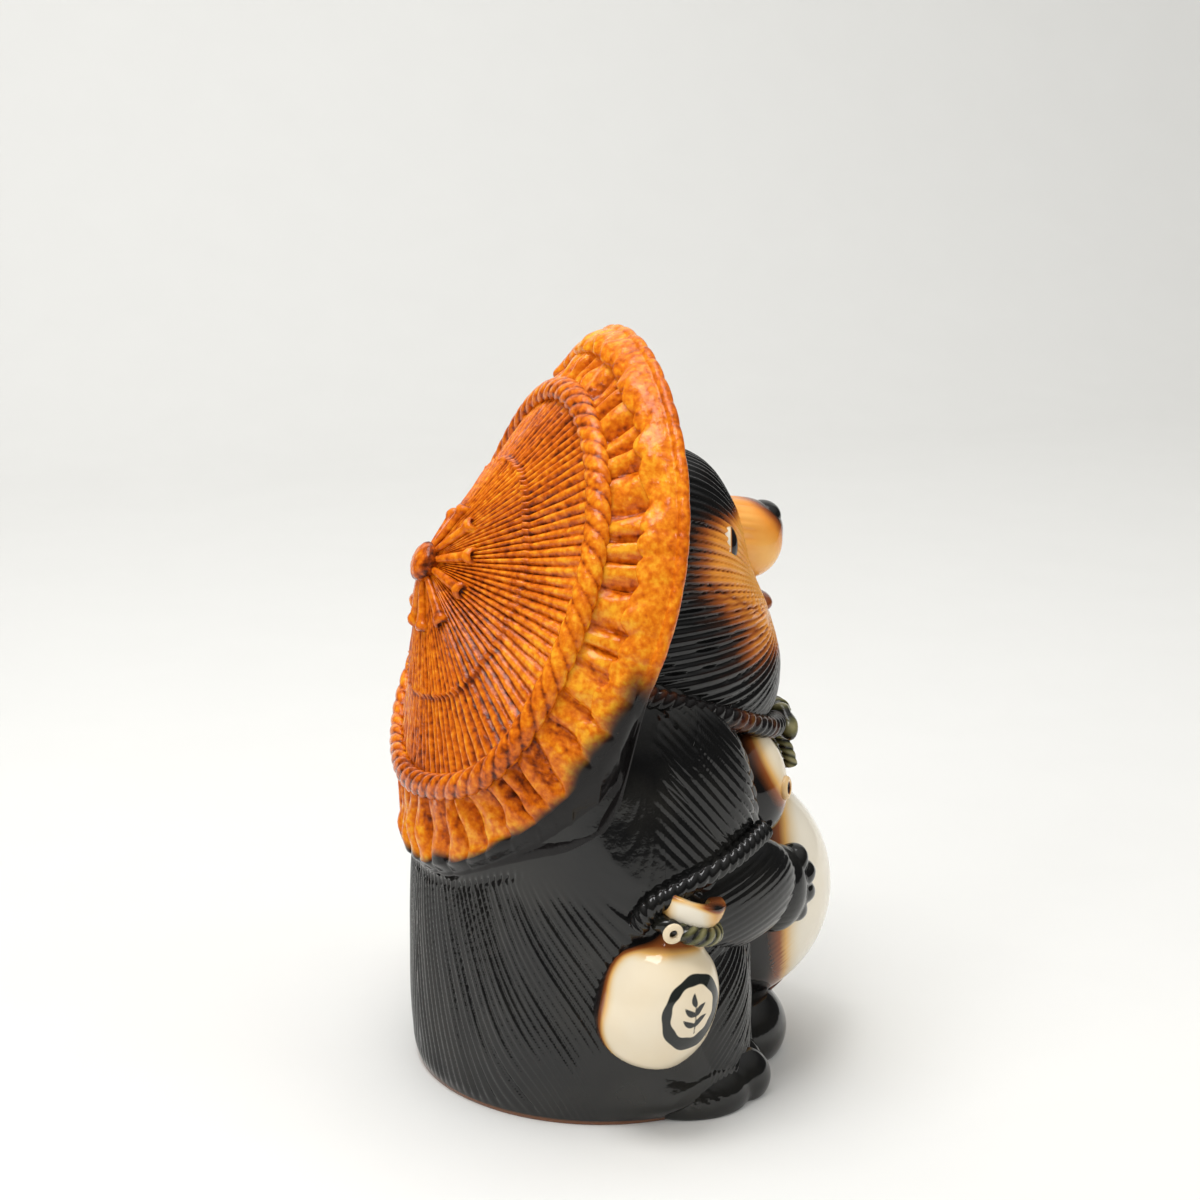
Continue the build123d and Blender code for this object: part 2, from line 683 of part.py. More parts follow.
def main():
    os.makedirs("parts", exist_ok=True)
    back_half, front_half = body_halves()
    save("body_back_shell", back_half)
    save("body_front_shell", front_half)
    save("belly", trimmed(belly_outer, belly_hollow, body_outer, bag_outer, floor_block))
    save("head_shell", trimmed(head_outer, head_hollow, body_outer, behind_hat, neck_bore))
    save("muzzle", muzzle_outer - head_outer)
    save("nose", nose_outer - muzzle_outer)
    save("lower_lip", trimmed(lower_lip_outer, head_outer, muzzle_outer))
    save("hat_crown", hat_crown())
    save("hat_brim", hat_brim())
    save("hat_braid", hat_braid())
    save("hat_knob", knob_form - crown_cover)
    save("hat_spokes", hat_spokes())
    save("money_bag", trimmed(bag_outer, body_hollow))
    save("groin_peg", groin_peg())
    save("chin_knot", trimmed(knot_outer, head_outer, body_outer, *breasts))
    save("flask_body", trimmed(flask_outer, mouth, body_outer, leg_outer))
    save("flask_lip", trimmed(lip_outer, mouth, body_outer))
    save("flask_collar", trimmed(collar_outer, flask_outer, lip_outer, body_outer))
    save("flask_loop", flask_loop())
    save("sling_cord", largest(trimmed(sling_outer, *flask_group, body_outer, paw_outer, breast_outer)))
    save("account_book", account_book())
    save_pair("breast", trimmed(breast_outer, body_outer, belly_outer, head_outer))
    save_pair("nipple", trimmed(right_nipple(), breast_outer, belly_outer, body_outer))
    save_pair("eye", trimmed(eye_outer, head_outer, muzzle_outer))
    save_pair("ear", trimmed(ear_outer, head_outer, behind_hat))
    arm = trimmed(arm_outer, body_outer, belly_outer, breast_outer, head_outer, behind_hat)
    save("left_arm", mirrored(arm))
    save("right_arm", largest(trimmed(arm, *flask_group, sling_outer)))
    save_pair("paw", trimmed(paw_outer, arm_outer, body_outer, belly_outer, breast_outer))
    save_pair("leg", trimmed(leg_outer, body_outer, belly_outer, foot_outer, arm_outer, paw_outer, floor_block))
    save_pair("foot", trimmed(foot_outer, body_outer, belly_outer, bag_outer))
    chin_cord = right_chin_cord()
    save_pair("chin_cord", chin_cord)
    save("knot_tails", knot_tails(chin_cord))


main()
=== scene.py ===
"""A glazed stoneware tanuki: combed black fur, a ribbed amber hat, cream belly and flask.

Lengths are in millimetres in the figure's own frame until a mesh is made: -Y is the way the figure faces,
-X its right side, and it stands on z = 0.
"""

import math

import bmesh
import bpy
import numpy as np
from mathutils import Matrix, Vector


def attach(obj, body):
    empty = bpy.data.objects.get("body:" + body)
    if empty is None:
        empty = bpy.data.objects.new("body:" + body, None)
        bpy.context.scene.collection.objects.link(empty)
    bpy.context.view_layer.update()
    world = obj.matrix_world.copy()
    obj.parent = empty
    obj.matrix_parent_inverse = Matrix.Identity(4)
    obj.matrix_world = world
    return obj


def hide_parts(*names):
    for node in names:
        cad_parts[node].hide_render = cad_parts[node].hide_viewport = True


MM = 0.001
TURN = 2 * math.pi
SAME_SPOT, NO_LENGTH = 1e-7, 1e-8
SHARP_ANGLE = math.radians(75)
WOBBLE_WAVES = 7
STRANDS = 3

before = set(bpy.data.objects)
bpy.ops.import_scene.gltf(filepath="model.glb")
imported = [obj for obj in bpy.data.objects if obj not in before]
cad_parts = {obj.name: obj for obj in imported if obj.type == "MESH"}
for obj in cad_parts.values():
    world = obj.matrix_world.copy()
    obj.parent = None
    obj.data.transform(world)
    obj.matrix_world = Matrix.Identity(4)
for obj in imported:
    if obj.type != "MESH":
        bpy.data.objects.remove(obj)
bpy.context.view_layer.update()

# Body and head: rings as height, width and set
BODY_RINGS = [
    (0, 172, 0), (6, 176, 0), (14, 178, 0), (60, 178, 0), (100, 175, 0), (134, 168, 0), (160, 156, 5),
    (178, 134, 10), (190, 106, 14),
]
BODY_DEPTH = 0.9
BODY_WALL = 7.0
HEAD_RINGS = [
    (143, 0, -11), (145, 62, -11), (149, 100, -11), (159, 127, -8), (178, 137, -6), (200, 134, -3),
    (222, 124, 0), (250, 102, -5), (270, 72, -8), (278, 40, -8), (281, 0, -8),
]
HEAD_DEPTH = 1.17
FAN_HEIGHT = 203.0
EYE = ((-31, -49.4, 236), (17, 14, 21), (0, 0, 0))

# Comb strokes of the fur, and how the photograph's side view weighs a place's X and Y
SIDE_VIEW = (0.326, 0.946)
FUR_PITCH = 3.6
FUR_DEPTH = 1.7
FUR_RADIUS = 84.0
HEAD_STROKES = 108
HEAD_FUR_DEPTH = 1.8
STROKE_KINDS = 400
LEAN_AROUND = (-1.5, -0.7, -0.2, 0.1, 0.5, 0.9, 1.6)
LEANS = (-0.4, -0.8, -0.7, 0.3, 0.62, 0.4, 0.1)

# Lobes of the right-hand rounded forms: centre, size, and turn in degrees about X, Y and Z
UPPER_ARM = ((-71, -11, 132), (42, 76, 100), (0, 0, 0))
FOREARM = ((-73, -36, 94), (38, 78, 50), (0, 0, 22))
ELBOW = (-76, -20, 108)
LEG = ((-62, -22, 46), (60, 56, 120), (0, 0, 0))
FOOT = ((-60, -27, 0), (48, 54, 30), (0, 0, 0))
FOOT_CENTRE = (-63, -31, 5)
TOES = [
    ((-77, -22, 6), (33, 48, 29), (0, 0, 0)), ((-70, -43, 8), (26, 32, 28), (0, 0, 0)),
    ((-56, -44, 8), (24, 34, 28), (0, 0, 0)),
]
PALM = ((-58, -64, 88), (30, 32, 40), (0, 0, 16))
FINGER_SIZE = (18, 21, 14)
FINGER_REACH = 12.5
FINGER_TILTS = (-45, -15, 15, 45)
BAG_LOBE = ((-19, -58, 11), (62, 56, 46), (0, 0, 0))
PEG = ((0, -86.5, 20.5), (10, 36, 10.5), (-36, 0, 0))
BELLY = ((0, -56, 73), (114, 114, 112), (0, 0, 0))
BREAST = ((-35, -58, 129), (50, 40, 54), (0, 0, 0))
NIPPLE_TOWARDS = np.array((-0.69, -0.72, 0.07))
NIPPLE_RADIUS, NIPPLE_HALF = 3.6, 1.7
ARM_FILLET = (9.5, 22.0)
FILLETS = [(UPPER_ARM, ARM_FILLET), (FOREARM, (3.0, 6.0)), (LEG, (4.0, 8.0)), (TOES[0], (5.0, 9.0))]
FRONT_DRAW = 0.13
GROUND, GROUND_LEG, GROUND_BELLY = 0.3, 0.5, 1.0

# Hat, as the frame has it
HAT_MIDDLE = np.array((0, 34.9, 214.0))
HAT_LEAN = math.radians(23.4)
HAT_UP = np.array((0, -math.sin(HAT_LEAN), math.cos(HAT_LEAN)))
HAT_BACK = np.array((0, math.cos(HAT_LEAN), math.sin(HAT_LEAN)))
HAT_SIDE = np.array((-1.0, 0, 0))
BRAID_SIDE, BRAID_TOP = 81.0, 90.0
RIM_SIDE, RIM_TOP = 102.0, 122.4
CROWN_DROP_SIDE, CROWN_DROP_TOP = 43.5, 31.0
BRIM_DROP_SIDE, BRIM_DROP_TOP = 28.4, 12.5
HAT_APEX = CROWN_DROP_TOP + BRIM_DROP_TOP
HAT_WALL = 7.0
RIB_COUNT = 104
RIB_DEPTH = 2.1
RIB_RISE = ((0, 0.1, 0.3, 0.6, 1), (0.1, 0.4, 0.8, 0.95, 1.0))
STITCH_RING = 0.60
LAYER_STEP = 1.2
PLEAT_COUNT = 52
CREASE_OFFSETS = (-0.2, -0.1, 0.0, 0.11, 0.21)
CREASE_WIDTH = 0.03
PAD_RISE = ((0, 0.12, 0.35, 0.55, 0.7, 1), (0.6, 3.4, 5.6, 4.4, 1.2, 0.3))
LOW_PAD_RISE = ((0, 0.12, 0.4, 0.7, 0.9, 1), (0.6, 3.2, 5.2, 5.0, 2.8, 0.8))
ROLL_AT, ROLL_REACH, ROLL_RISE = 0.79, 0.22, 5.2
SPOKE_COUNT = 11
SPOKE_LIFT, SPOKE_FLATNESS = 0.9, 0.9
BRAID_TWISTS = 22
BRAID_HALF_WIDTH = 6.0
BRAID_HALF_RISE = 4.2
BRAID_LIFT = 0.6
BRAID_SWELL, SWELL_ANGLE, SWELL_REACH = 0.10, -0.66, 0.42
RIM_THINNING = 3.0
BUTTON_PROFILE = [
    (0, 4.4), (3.0, 4.2), (5.8, 3.4), (7.8, 2.0), (8.6, 0.2), (8.2, -2.5), (6.0, -6.0), (0, -8.0),
]

# A split reed of the hat: share of the way to the braid, half width, and how dark its glaze pools
REED_PROFILE = [
    (0.06, 1.0, 0.5), (0.1, 1.5, 0.2), (0.15, 1.9, 0.1), (0.2, 2.2, 0), (0.24, 2.4, 0), (0.27, 2.7, 0.3),
    (0.285, 3.5, 0.1), (0.30, 4.0, 0), (0.315, 3.6, 0), (0.32, 2.4, 0.6), (0.31, 1.7, 1), (0.29, 0.0, 1),
]

# The slip that lutes the brim to the body: its drop below the edge, by angle from the back to the side
LUTING_ANGLES = (-90, -70, -50, -40, -30, -20, -8)
LUTING_DROPS = (6, 9, 14, 22, 34, 45, 46)

# Face: lobes, and whisker lines in the side view
BRIDGE = ((0, -66, 240), (36, 46, 22), (8, 0, 0))
SNOUT = ((0, -72, 231), (38, 35, 35), (0, 0, 0))
MUZZLE_ROOT = ((0, -52, 232), (48, 40, 36), (0, 0, 0))
MUZZLE_CENTRE = (0, -64, 234)
NOSE = ((0, -81.5, 241.5), (21, 15.5, 13.5), (0, 0, 0))
NOSE_SHADE = ((0, -84, 243), 13)
LIP = ((0, -78, 203), (26, 14, 10), (0, 0, 0))
EAR = ((-45, -8, 260), (26, 16, 36), (0, -24, 0))
EAR_HOLLOW = ((-46, 263), (8, 11), 4)
WHISKERS = (((-36, 224), (-66, 207)), ((-48, 203), (-62, 201)))

# Cords: paths, and ropes as half thickness, twists and the centre that they lie round
CHIN_PATH = [
    (-74, 8, 186), (-74, -8, 181), (-70, -26, 174), (-60, -45, 166), (-46, -62, 158), (-29, -76, 152),
    (-10, -85, 149), (0, -86, 149),
]
CHIN_ROPE = (5.0, 9, (0, -5, 168))
TAIL_PATH = [(4, -86, 146), (5.5, -89.5, 140), (7, -92.5, 133), (8, -94, 126)]
TAIL_ROPE = (3.1, 2, (0, -60, 135))
SLING_PATH = [
    (-78, -51, 122), (-86, -41, 119), (-92, -29, 114.5), (-98, -10, 109), (-99, 6, 102), (-96, 12, 92),
]
SLING_ROPE = (4.8, 6, (-60, 0, 90))
KNOT = ((0, -88, 149), (18, 17, 17), (0, 0, 0))
BOWS = [((-12, -88, 149), (26, 11, 13), (0, -25, 0)), ((12, -88, 149), (26, 11, 13), (0, 25, 0))]

# Flask: axes, profiles as radius and height, and its brushed mark
FLASK_FOOT = np.array((-88.0, 10.0, 30.0))
FLASK_TOP = np.array((-math.tan(math.radians(6)), -math.tan(math.radians(17)), 1.0))
FLASK_AXIS = FLASK_TOP / np.linalg.norm(FLASK_TOP)
FLASK_X = np.array((1.0, 0, -FLASK_TOP[0])) / math.hypot(1.0, FLASK_TOP[0])
FLASK_Y = np.cross(FLASK_AXIS, FLASK_X)
BOWL_PROFILE = [
    (0, -0.6), (9, 1.2), (18, 6.5), (24.2, 18), (25.4, 30), (23.8, 41), (19, 50), (12.5, 56), (10, 61),
    (9.5, 67), (9.5, 69),
]
LIP_PROFILE = [
    (9.6, 67), (12.6, 68), (14.2, 71), (14.8, 75), (14.2, 77.8), (11.8, 78), (7.6, 76.5), (6.6, 72),
    (6.5, 62), (0, 62),
]
COLLAR_HEIGHT = 64.5
COLLAR_RADIUS = 13.2
COLLAR_HALF_WIDTH, COLLAR_HALF_RISE = 4.4, 4.2
COLLAR_TWISTS = 6
LOOP_SET = (-14.8, 10.5)
LOOP_RADIUS = 3.0
LOOP_HALF = 1.5
MARK_HEIGHT = 28
MARK_FACING = (-0.938, -0.335, 0.084)
MARK_SPHERE = 25
MARK_RADIUS = 13.0
MARK_BRUSH = 2.7
STEM_HALF, LEAF_WIDTH = 0.55, 1.5
SPRIG_STEM = ((0, -8.5), (0, 5))
SPRIG_LEAVES = (
    ((0, -5), (6.5, -1)), ((0, -5), (-6.5, -1)), ((0, -0.5), (5.5, 4)), ((0, -0.5), (-5.5, 4)),
    ((0, 3), (0, 9)),
)

# Account book
BOOK_CENTRE = (92, -8, 52)
BOOK_HALF_THICK, BOOK_HALF_WIDE, BOOK_HALF_HIGH = 6.6, 21.6, 28.6
BOOK_TILT = math.radians(8)
BOOK_CORNER = 14

# Studio: the floor's sweep in millimetres, and lamps as name, place and target in metres, size, watts and
# whether the glaze mirrors them
SWEEP_REACH, SWEEP_BEND, SWEEP_TOP = 1500, 900, 3600
SWEEP_NEAR = np.array([-1300.0, 1300.0])
SWEEP_FAR = np.array([-2900.0, 900.0])
LAMPS = [
    ("key_box", (-0.20, 0.30, 1.30), (0, 0, 0.16), 0.6, 8.5, True),
    ("back_fill", (-0.60, 1.40, 0.70), (0, 0, 0.18), 1.0, 7.0, False),
    ("front_fill", (-0.75, -0.95, 0.75), (0, 0, 0.16), 0.7, 3.0, False),
    ("wall_box", (0.7, 0.0, 2.4), (2.3, 0, 0.9), 1.5, 25.0, True),
]
SKY_COLOUR = (1.0, 0.995, 0.98, 1)
SKY_LIGHT = 0.62
SKY_MIRRORED = {"From Min": 0.35, "From Max": 0.9, "To Min": 0.05, "To Max": 0.55}
VIEW_PLACE = (-1.0103, 0.343, 0.455)
VIEW_BEHIND, VIEW_BELOW = math.radians(19), math.radians(13)
VIEW_ANGLE = math.radians(27)


def smooth_through(stations, values, at):
    """A smooth curve through values at stations: cubic pieces that share their slopes where they meet."""
    stations = np.asarray(stations, float)
    values = np.asarray(values, float)
    slopes = np.gradient(values, stations)
    left = np.clip(np.searchsorted(stations, at) - 1, 0, len(stations) - 2)
    width = stations[left + 1] - stations[left]
    t = np.clip((at - stations[left]) / width, 0, 1)
    start = values[left] * (1 + 2 * t) + slopes[left] * width * t
    end = values[left + 1] * (3 - 2 * t) + slopes[left + 1] * width * (t - 1)
    return start * (1 - t) ** 2 + end * t**2


def along_points(points, count):
    """Smooth curves through each coordinate of points in their order, at evenly spaced places."""
    table = np.array(points, float)
    at = np.linspace(0, len(table) - 1, count)
    return [smooth_through(np.arange(len(table)), column, at) for column in table.T]


def round_turn(cols):
    """Angles round a whole turn, as one row."""
    return TURN * np.arange(cols)[None, :] / cols


def joined(x, y, z):
    """Places from their three coordinates."""
    return np.stack(np.broadcast_arrays(x, y, z), axis=-1)


def lifted(places, least):
    """Places lifted to a least height."""
    x, y, z = np.moveaxis(places, -1, 0)
    return joined(x, y, np.maximum(z, least))


def fade(low, high, at):
    """A smooth step from 0 at one value to 1 at another."""
    t = np.clip((at - low) / (high - low), 0, 1)
    return t * t * (3 - 2 * t)


def wobble(u, v, seed):
    """A hand's unevenness, about 1 in size: sine waves of seeded directions over two parameters."""
    draw = np.random.default_rng(seed)
    total = np.zeros(np.broadcast(u, v).shape)
    for along_u, along_v, start in draw.uniform(-1, 1, (WOBBLE_WAVES, 3)):
        total += np.sin(along_u * u + along_v * v + math.pi * start)
    return total / math.sqrt(WOBBLE_WAVES)


def comb(across, along, seed):
    """Comb strokes across a surface, in strokes and in stroke lengths.

    Each whole step across is one stroke, deepest in its middle, which fades in and out along its length.
    """
    phase = across + 0.28 * wobble(across / 3, along * 1.5, seed)
    stroke = np.floor(phase).astype(int) % STROKE_KINDS
    draw = np.random.default_rng(seed + 1)
    lengths = draw.uniform(0.7, 1.6, STROKE_KINDS)[stroke]
    starts = draw.uniform(0, TURN, STROKE_KINDS)[stroke]
    strength = 0.74 + 0.26 * np.sin(along * lengths * 1.6 + starts)
    groove = 1 - np.abs(np.cos(math.pi * phase)) ** 0.8
    return groove * strength


def normals(places, wrap=True):
    """Unit normals of a grid of places, from the cross product of its two directions."""
    down = np.gradient(places, axis=0)
    if wrap:
        along = np.roll(places, -1, axis=1) - np.roll(places, 1, axis=1)
    else:
        along = np.gradient(places, axis=1)
    out = np.cross(along, down)
    return out / (np.linalg.norm(out, axis=2, keepdims=True) + 1e-9)


def raised(places, amount, wrap=True):
    """Places moved outwards along their normals."""
    return places + normals(places, wrap) * amount[..., None]


def turned(degrees):
    """A rotation about X, then Y, then Z, as a matrix."""
    turns = [Matrix.Rotation(math.radians(angle), 3, axis) for angle, axis in zip(degrees, "XYZ")]
    return np.array(turns[0] @ turns[1] @ turns[2])


def lobe_depth(places, lobe):
    """How far places lie outside an ellipsoid, roughly, in its mean radius: below 0 inside it."""
    centre, size, turn = lobe
    inward = turned(turn).T / (np.array(size)[:, None] / 2)
    reach = np.linalg.norm((places - np.array(centre)) @ inward.T, axis=-1)
    return (reach - 1) * np.mean(size) / 2


def star(centre, lobes, rows, cols, sharpness=16):
    """Rays from a centre, each as long as a soft maximum of where it leaves the ellipsoids."""
    polar = math.pi * np.linspace(0, 1, rows)[:, None]
    around = round_turn(cols)
    rays = joined(np.sin(polar) * np.cos(around), np.sin(polar) * np.sin(around), -np.cos(polar))
    total = np.zeros((rows, cols))
    for lobe_centre, size, turn in lobes:
        inward = turned(turn).T / (np.array(size)[:, None] / 2)
        start = inward @ (np.array(centre, float) - np.array(lobe_centre, float))
        step = rays @ inward.T
        square = (step**2).sum(axis=2)
        half = step @ start
        leave = (-half + np.sqrt(np.maximum(half**2 - square * (start @ start - 1), 0))) / square
        total += leave**sharpness
    return np.array(centre, float) + rays * (total ** (1 / sharpness))[..., None]


def egg(lobe, rows, cols):
    """One ellipsoid, by rays from its own centre."""
    return star(lobe[0], [lobe], rows, cols)


def stacked(rings, depth, rows, cols):
    """Level ellipses through rings given as height, width and set, joined by smooth curves."""
    table = np.array(rings, float)
    steps = np.hypot(np.diff(table[:, 0]), np.diff(table[:, 1]) / 2)
    stations = np.concatenate([[0], np.cumsum(steps)])
    at = np.linspace(0, stations[-1], rows)
    height, width, set_y = (smooth_through(stations, column, at)[:, None] for column in table.T)
    around = round_turn(cols)
    return joined(width / 2 * np.cos(around), set_y + depth * width / 2 * np.sin(around), height)


def mirrored(places):
    """Places reflected to the figure's other side."""
    return places * np.array((-1.0, 1.0, 1.0))


def skin(name, patches, material, nodes):
    """One mesh from grids of places, closed round their columns. A first or last row on one spot is a tip.

    A patch is a dictionary of its places and of values of named attributes at them.
    """
    corners, faces, values = [], [], {}
    offset = 0
    for patch in patches:
        places = patch["places"]
        rows, cols = places.shape[:2]
        index = offset + np.arange(rows * cols).reshape(rows, cols)
        onward = np.roll(index, -1, axis=1)
        quads = np.stack([index[:-1], onward[:-1], onward[1:], index[1:]], axis=2).reshape(-1, 4)
        flat = places.reshape(-1, 3)
        a, b, c, d = (flat[quads[:, k] - offset] for k in range(4))
        outward = np.einsum("ij,ij->i", (a + c) / 2 - flat.mean(axis=0), np.cross(c - a, d - b)).sum()
        faces.append(quads if outward > 0 else quads[:, ::-1])
        corners.append(flat)
        for key, value in patch.items():
            if key != "places":
                values.setdefault(key, []).append(np.broadcast_to(value, (rows, cols)).reshape(-1))
        offset += rows * cols
    mesh = bpy.data.meshes.new(name)
    mesh.from_pydata(np.concatenate(corners) * MM, [], np.concatenate(faces).tolist())
    for key, value in values.items():
        data = mesh.attributes.new(key, "FLOAT", "POINT").data
        data.foreach_set("value", np.concatenate(value).astype(np.float32))
    close_seams(mesh)
    mesh.polygons.foreach_set("use_smooth", np.ones(len(mesh.polygons), bool))
    mesh.set_sharp_from_angle(angle=SHARP_ANGLE)
    mesh.materials.append(material)
    piece = bpy.data.objects.new(name, mesh)
    bpy.context.scene.collection.objects.link(piece)
    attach(piece, "root")
    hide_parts(*nodes)


def close_seams(mesh):
    """Merges doubled corners, which closes tips and folded ends."""
    work = bmesh.new()
    work.from_mesh(mesh)
    bmesh.ops.remove_doubles(work, verts=work.verts, dist=SAME_SPOT)
    bmesh.ops.dissolve_degenerate(work, dist=NO_LENGTH, edges=work.edges)
    work.to_mesh(mesh)
    work.free()


def pair(name, patches, material, node):
    """The right-hand piece and its mirror image."""
    skin("right_" + name, patches, material, ["right_" + node])
    other = [{**patch, "places": mirrored(patch["places"])} for patch in patches]
    skin("left_" + name, other, material, ["left_" + node])


class Value:
    """A number that varies over a surface. An expression on values adds its Math nodes to the material."""

    def __init__(self, paint, socket):
        self.paint = paint
        self.socket = socket

    def _math(self, operation, first, second):
        return self.paint.node("ShaderNodeMath", {"operation": operation}, {0: first, 1: second})

    def __add__(self, other):
        return self._math("ADD", self, other)

    __radd__ = __add__

    def __sub__(self, other):
        return self._math("SUBTRACT", self, other)

    def __rsub__(self, other):
        return self._math("SUBTRACT", other, self)

    def __mul__(self, other):
        return self._math("MULTIPLY", self, other)

    __rmul__ = __mul__

    def clipped(self):
        """The value, held between 0 and 1."""
        return self.paint.node("ShaderNodeClamp", {}, {"Value": self})

    def ramp(self, stops):
        """A colour for each value, from stops of a place and a colour."""
        return self.paint.node("ShaderNodeValToRGB", {"stops": stops}, {"Fac": self})


class Paint:
    """A material or a world under work. One method adds any node; the rest are those that glazes share."""

    def __init__(self, owner):
        owner.use_nodes = True
        self.owner = owner
        self.tree = owner.node_tree
        self.shader = self.tree.nodes.get("Principled BSDF")

    def plug(self, socket, value):
        """Links a value to a socket, or sets the socket to a number or a colour."""
        if isinstance(value, Value):
            self.tree.links.new(value.socket, socket)
        else:
            socket.default_value = value

    def node(self, kind, settings, sockets, output=0):
        """Adds a node with its settings and inputs, and gives one of its outputs."""
        node = self.tree.nodes.new(kind)
        for key, setting in settings.items():
            if key == "stops":
                elements = node.color_ramp.elements
                while len(elements) < len(setting):
                    elements.new(0.5)
                for element, (place, colour) in zip(elements, setting):
                    element.position = place
                    element.color = (*colour, 1)
            else:
                setattr(node, key, setting)
        for key, value in sockets.items():
            self.plug(node.inputs[key], value)
        return Value(self, node.outputs[output])

    def attribute(self, name):
        """A named attribute of the mesh, 0 where the mesh has none."""
        return self.node("ShaderNodeAttribute", {"attribute_name": name}, {}, "Fac")

    def noise(self, scale, detail):
        """Cloudy noise over the object's own coordinates, about 0.5."""
        coordinates = self.node("ShaderNodeTexCoord", {}, {}, "Object")
        sockets = {"Vector": coordinates, "Scale": scale, "Detail": detail}
        return self.node("ShaderNodeTexNoise", {}, sockets)

    def mix(self, share, first, second):
        """A share of the way from one colour to another."""
        first, second = (value if isinstance(value, Value) else (*value, 1) for value in (first, second))
        return self.node("ShaderNodeMix", {"data_type": "RGBA"}, {0: share, 6: first, 7: second}, 2)

    def finish(self, colour, roughness, height=None, depth=0.0):
        """Sets the glaze's colour, its gloss and the fine unevenness of its skin."""
        self.plug(self.shader.inputs["Base Color"], colour)
        self.plug(self.shader.inputs["Roughness"], roughness)
        if height is not None:
            bump = self.node("ShaderNodeBump", {}, {"Height": height, "Distance": depth, "Strength": 1.0})
            self.plug(self.shader.inputs["Normal"], bump)
        return self.owner


def black_glaze(name="black_glaze", warm=False):
    """Deep black glaze, browner on worn ridges. Warm glaze runs to orange and gold where asked."""
    paint = Paint(bpy.data.materials.new(name))
    cloud = paint.noise(26, 4)
    speck = paint.noise(420, 2)
    thin = ((1 - paint.attribute("groove")) * (cloud - 0.42) * 3).clipped()
    colour = paint.mix(thin, (0.006, 0.006, 0.006), (0.020, 0.019, 0.016))
    if warm:
        streaks = 0.42 * paint.attribute("groove") - 0.3 * (paint.noise(60, 4) - 0.5)
        stops = [
            (0.0, (0.006, 0.006, 0.006)), (0.22, (0.030, 0.011, 0.006)), (0.45, (0.30, 0.075, 0.014)),
            (0.68, (0.74, 0.27, 0.035)), (1.0, (0.88, 0.48, 0.12)),
        ]
        colour = (paint.attribute("warm") - streaks).clipped().ramp(stops)
    else:
        colour = paint.mix(paint.attribute("bare"), colour, (0.20, 0.075, 0.03))
    gloss = 0.07 + 0.07 * speck
    return paint.finish(colour, gloss, cloud + 0.25 * speck, 0.0003)


def amber_glaze():
    """Runny, speckled amber glaze: golden where it thins on ridges, red-brown where it pools in grooves and
    where painted shade darkens the brim's valleys beside the braid.
    """
    paint = Paint(bpy.data.materials.new("amber_glaze"))
    patch = paint.noise(20, 5)
    fleck = paint.noise(360, 6)
    # The groove attribute is glaze pooling, and on the brim it also carries painted shade beside the braid
    # and between the pads.
    pool_and_shade = paint.attribute("groove")
    tone = (0.56 * pool_and_shade + 1.1 * (patch - 0.5) + 1.35 * (fleck - 0.5) + 0.32).clipped()
    stops = [
        (0.0, (0.80, 0.36, 0.020)), (0.28, (0.70, 0.190, 0.007)), (0.52, (0.55, 0.105, 0.003)),
        (0.78, (0.25, 0.040, 0.003)), (1.0, (0.070, 0.014, 0.003)),
    ]
    soot = paint.attribute("soot")
    colour = paint.mix(soot, tone.ramp(stops), (0.008, 0.007, 0.007))
    gloss = 0.05 + 0.10 * fleck
    paint.shader.inputs["Specular IOR Level"].default_value = 0.26
    return paint.finish(colour, gloss, (fleck + 0.8 * patch) * (1 - 0.8 * soot), 0.0005)


def cream_glaze():
    """Milky cream glaze, toasted to gold, brown and black where the scorch reaches, with brushed ink."""
    paint = Paint(bpy.data.materials.new("cream_glaze"))
    cloud = paint.noise(30, 4)
    speck = paint.noise(500, 2)
    toast = (paint.attribute("scorch") + 0.2 * (cloud - 0.5)).clipped()
    stops = [
        (0.0, (0.79, 0.725, 0.60)), (0.2, (0.75, 0.61, 0.40)), (0.42, (0.70, 0.40, 0.12)),
        (0.65, (0.27, 0.075, 0.018)), (1.0, (0.008, 0.007, 0.007)),
    ]
    inked = (paint.attribute("stroke") * (0.8 * speck - 2.9)).clipped()
    colour = paint.mix(inked, toast.ramp(stops), (0.016, 0.018, 0.016))
    return paint.finish(colour, 0.03 + 0.04 * speck, cloud + 0.15 * speck, 0.00012)


def olive_glaze():
    """Thin green glaze, pale on the strands and nearly black in the folds."""
    paint = Paint(bpy.data.materials.new("olive_glaze"))
    cloud = paint.noise(120, 4)
    tone = (0.8 * paint.attribute("groove") + 0.8 * (cloud - 0.5) + 0.15).clipped()
    stops = [(0.0, (0.30, 0.27, 0.13)), (0.45, (0.085, 0.082, 0.030)), (0.8, (0.012, 0.012, 0.009))]
    return paint.finish(tone.ramp(stops), 0.14 + 0.1 * cloud, cloud, 0.0004)


BLACK = black_glaze()
FACE = black_glaze("face_glaze", warm=True)
AMBER = amber_glaze()
CREAM = cream_glaze()
OLIVE = olive_glaze()


def fur_groove(places, seed=5):
    """Comb grooves: upright at the back, leaning down and forward to the flask, and back down the leg."""
    around = np.arctan2(places[..., 1], np.abs(places[..., 0]))
    height = places[..., 2]
    lean = smooth_through(LEAN_AROUND, LEANS, around)
    across = (FUR_RADIUS * around - lean * (height - 60)) / FUR_PITCH
    smooth_shoulder = fade(94, 110, height) * fade(1.0, 0.65, around)
    worn_foot = fade(44, 26, height) * fade(0.5, 0.2, around) * fade(-0.42, -0.2, around)
    low = comb(across, height / 40, seed) * (1 - 0.92 * smooth_shoulder) * (1 - worn_foot)
    return np.maximum(low, shoulder_groove(places))


def shoulder_groove(places):
    """Strokes that run down and forward over the front of the shoulder."""
    forward, height = -places[..., 1], places[..., 2]
    shoulder = fade(112, 122, height) * fade(-6, 8, forward)
    return 0.9 * shoulder * comb((1.2 * forward + height) / 1.56 / FUR_PITCH, forward / 40, 10)


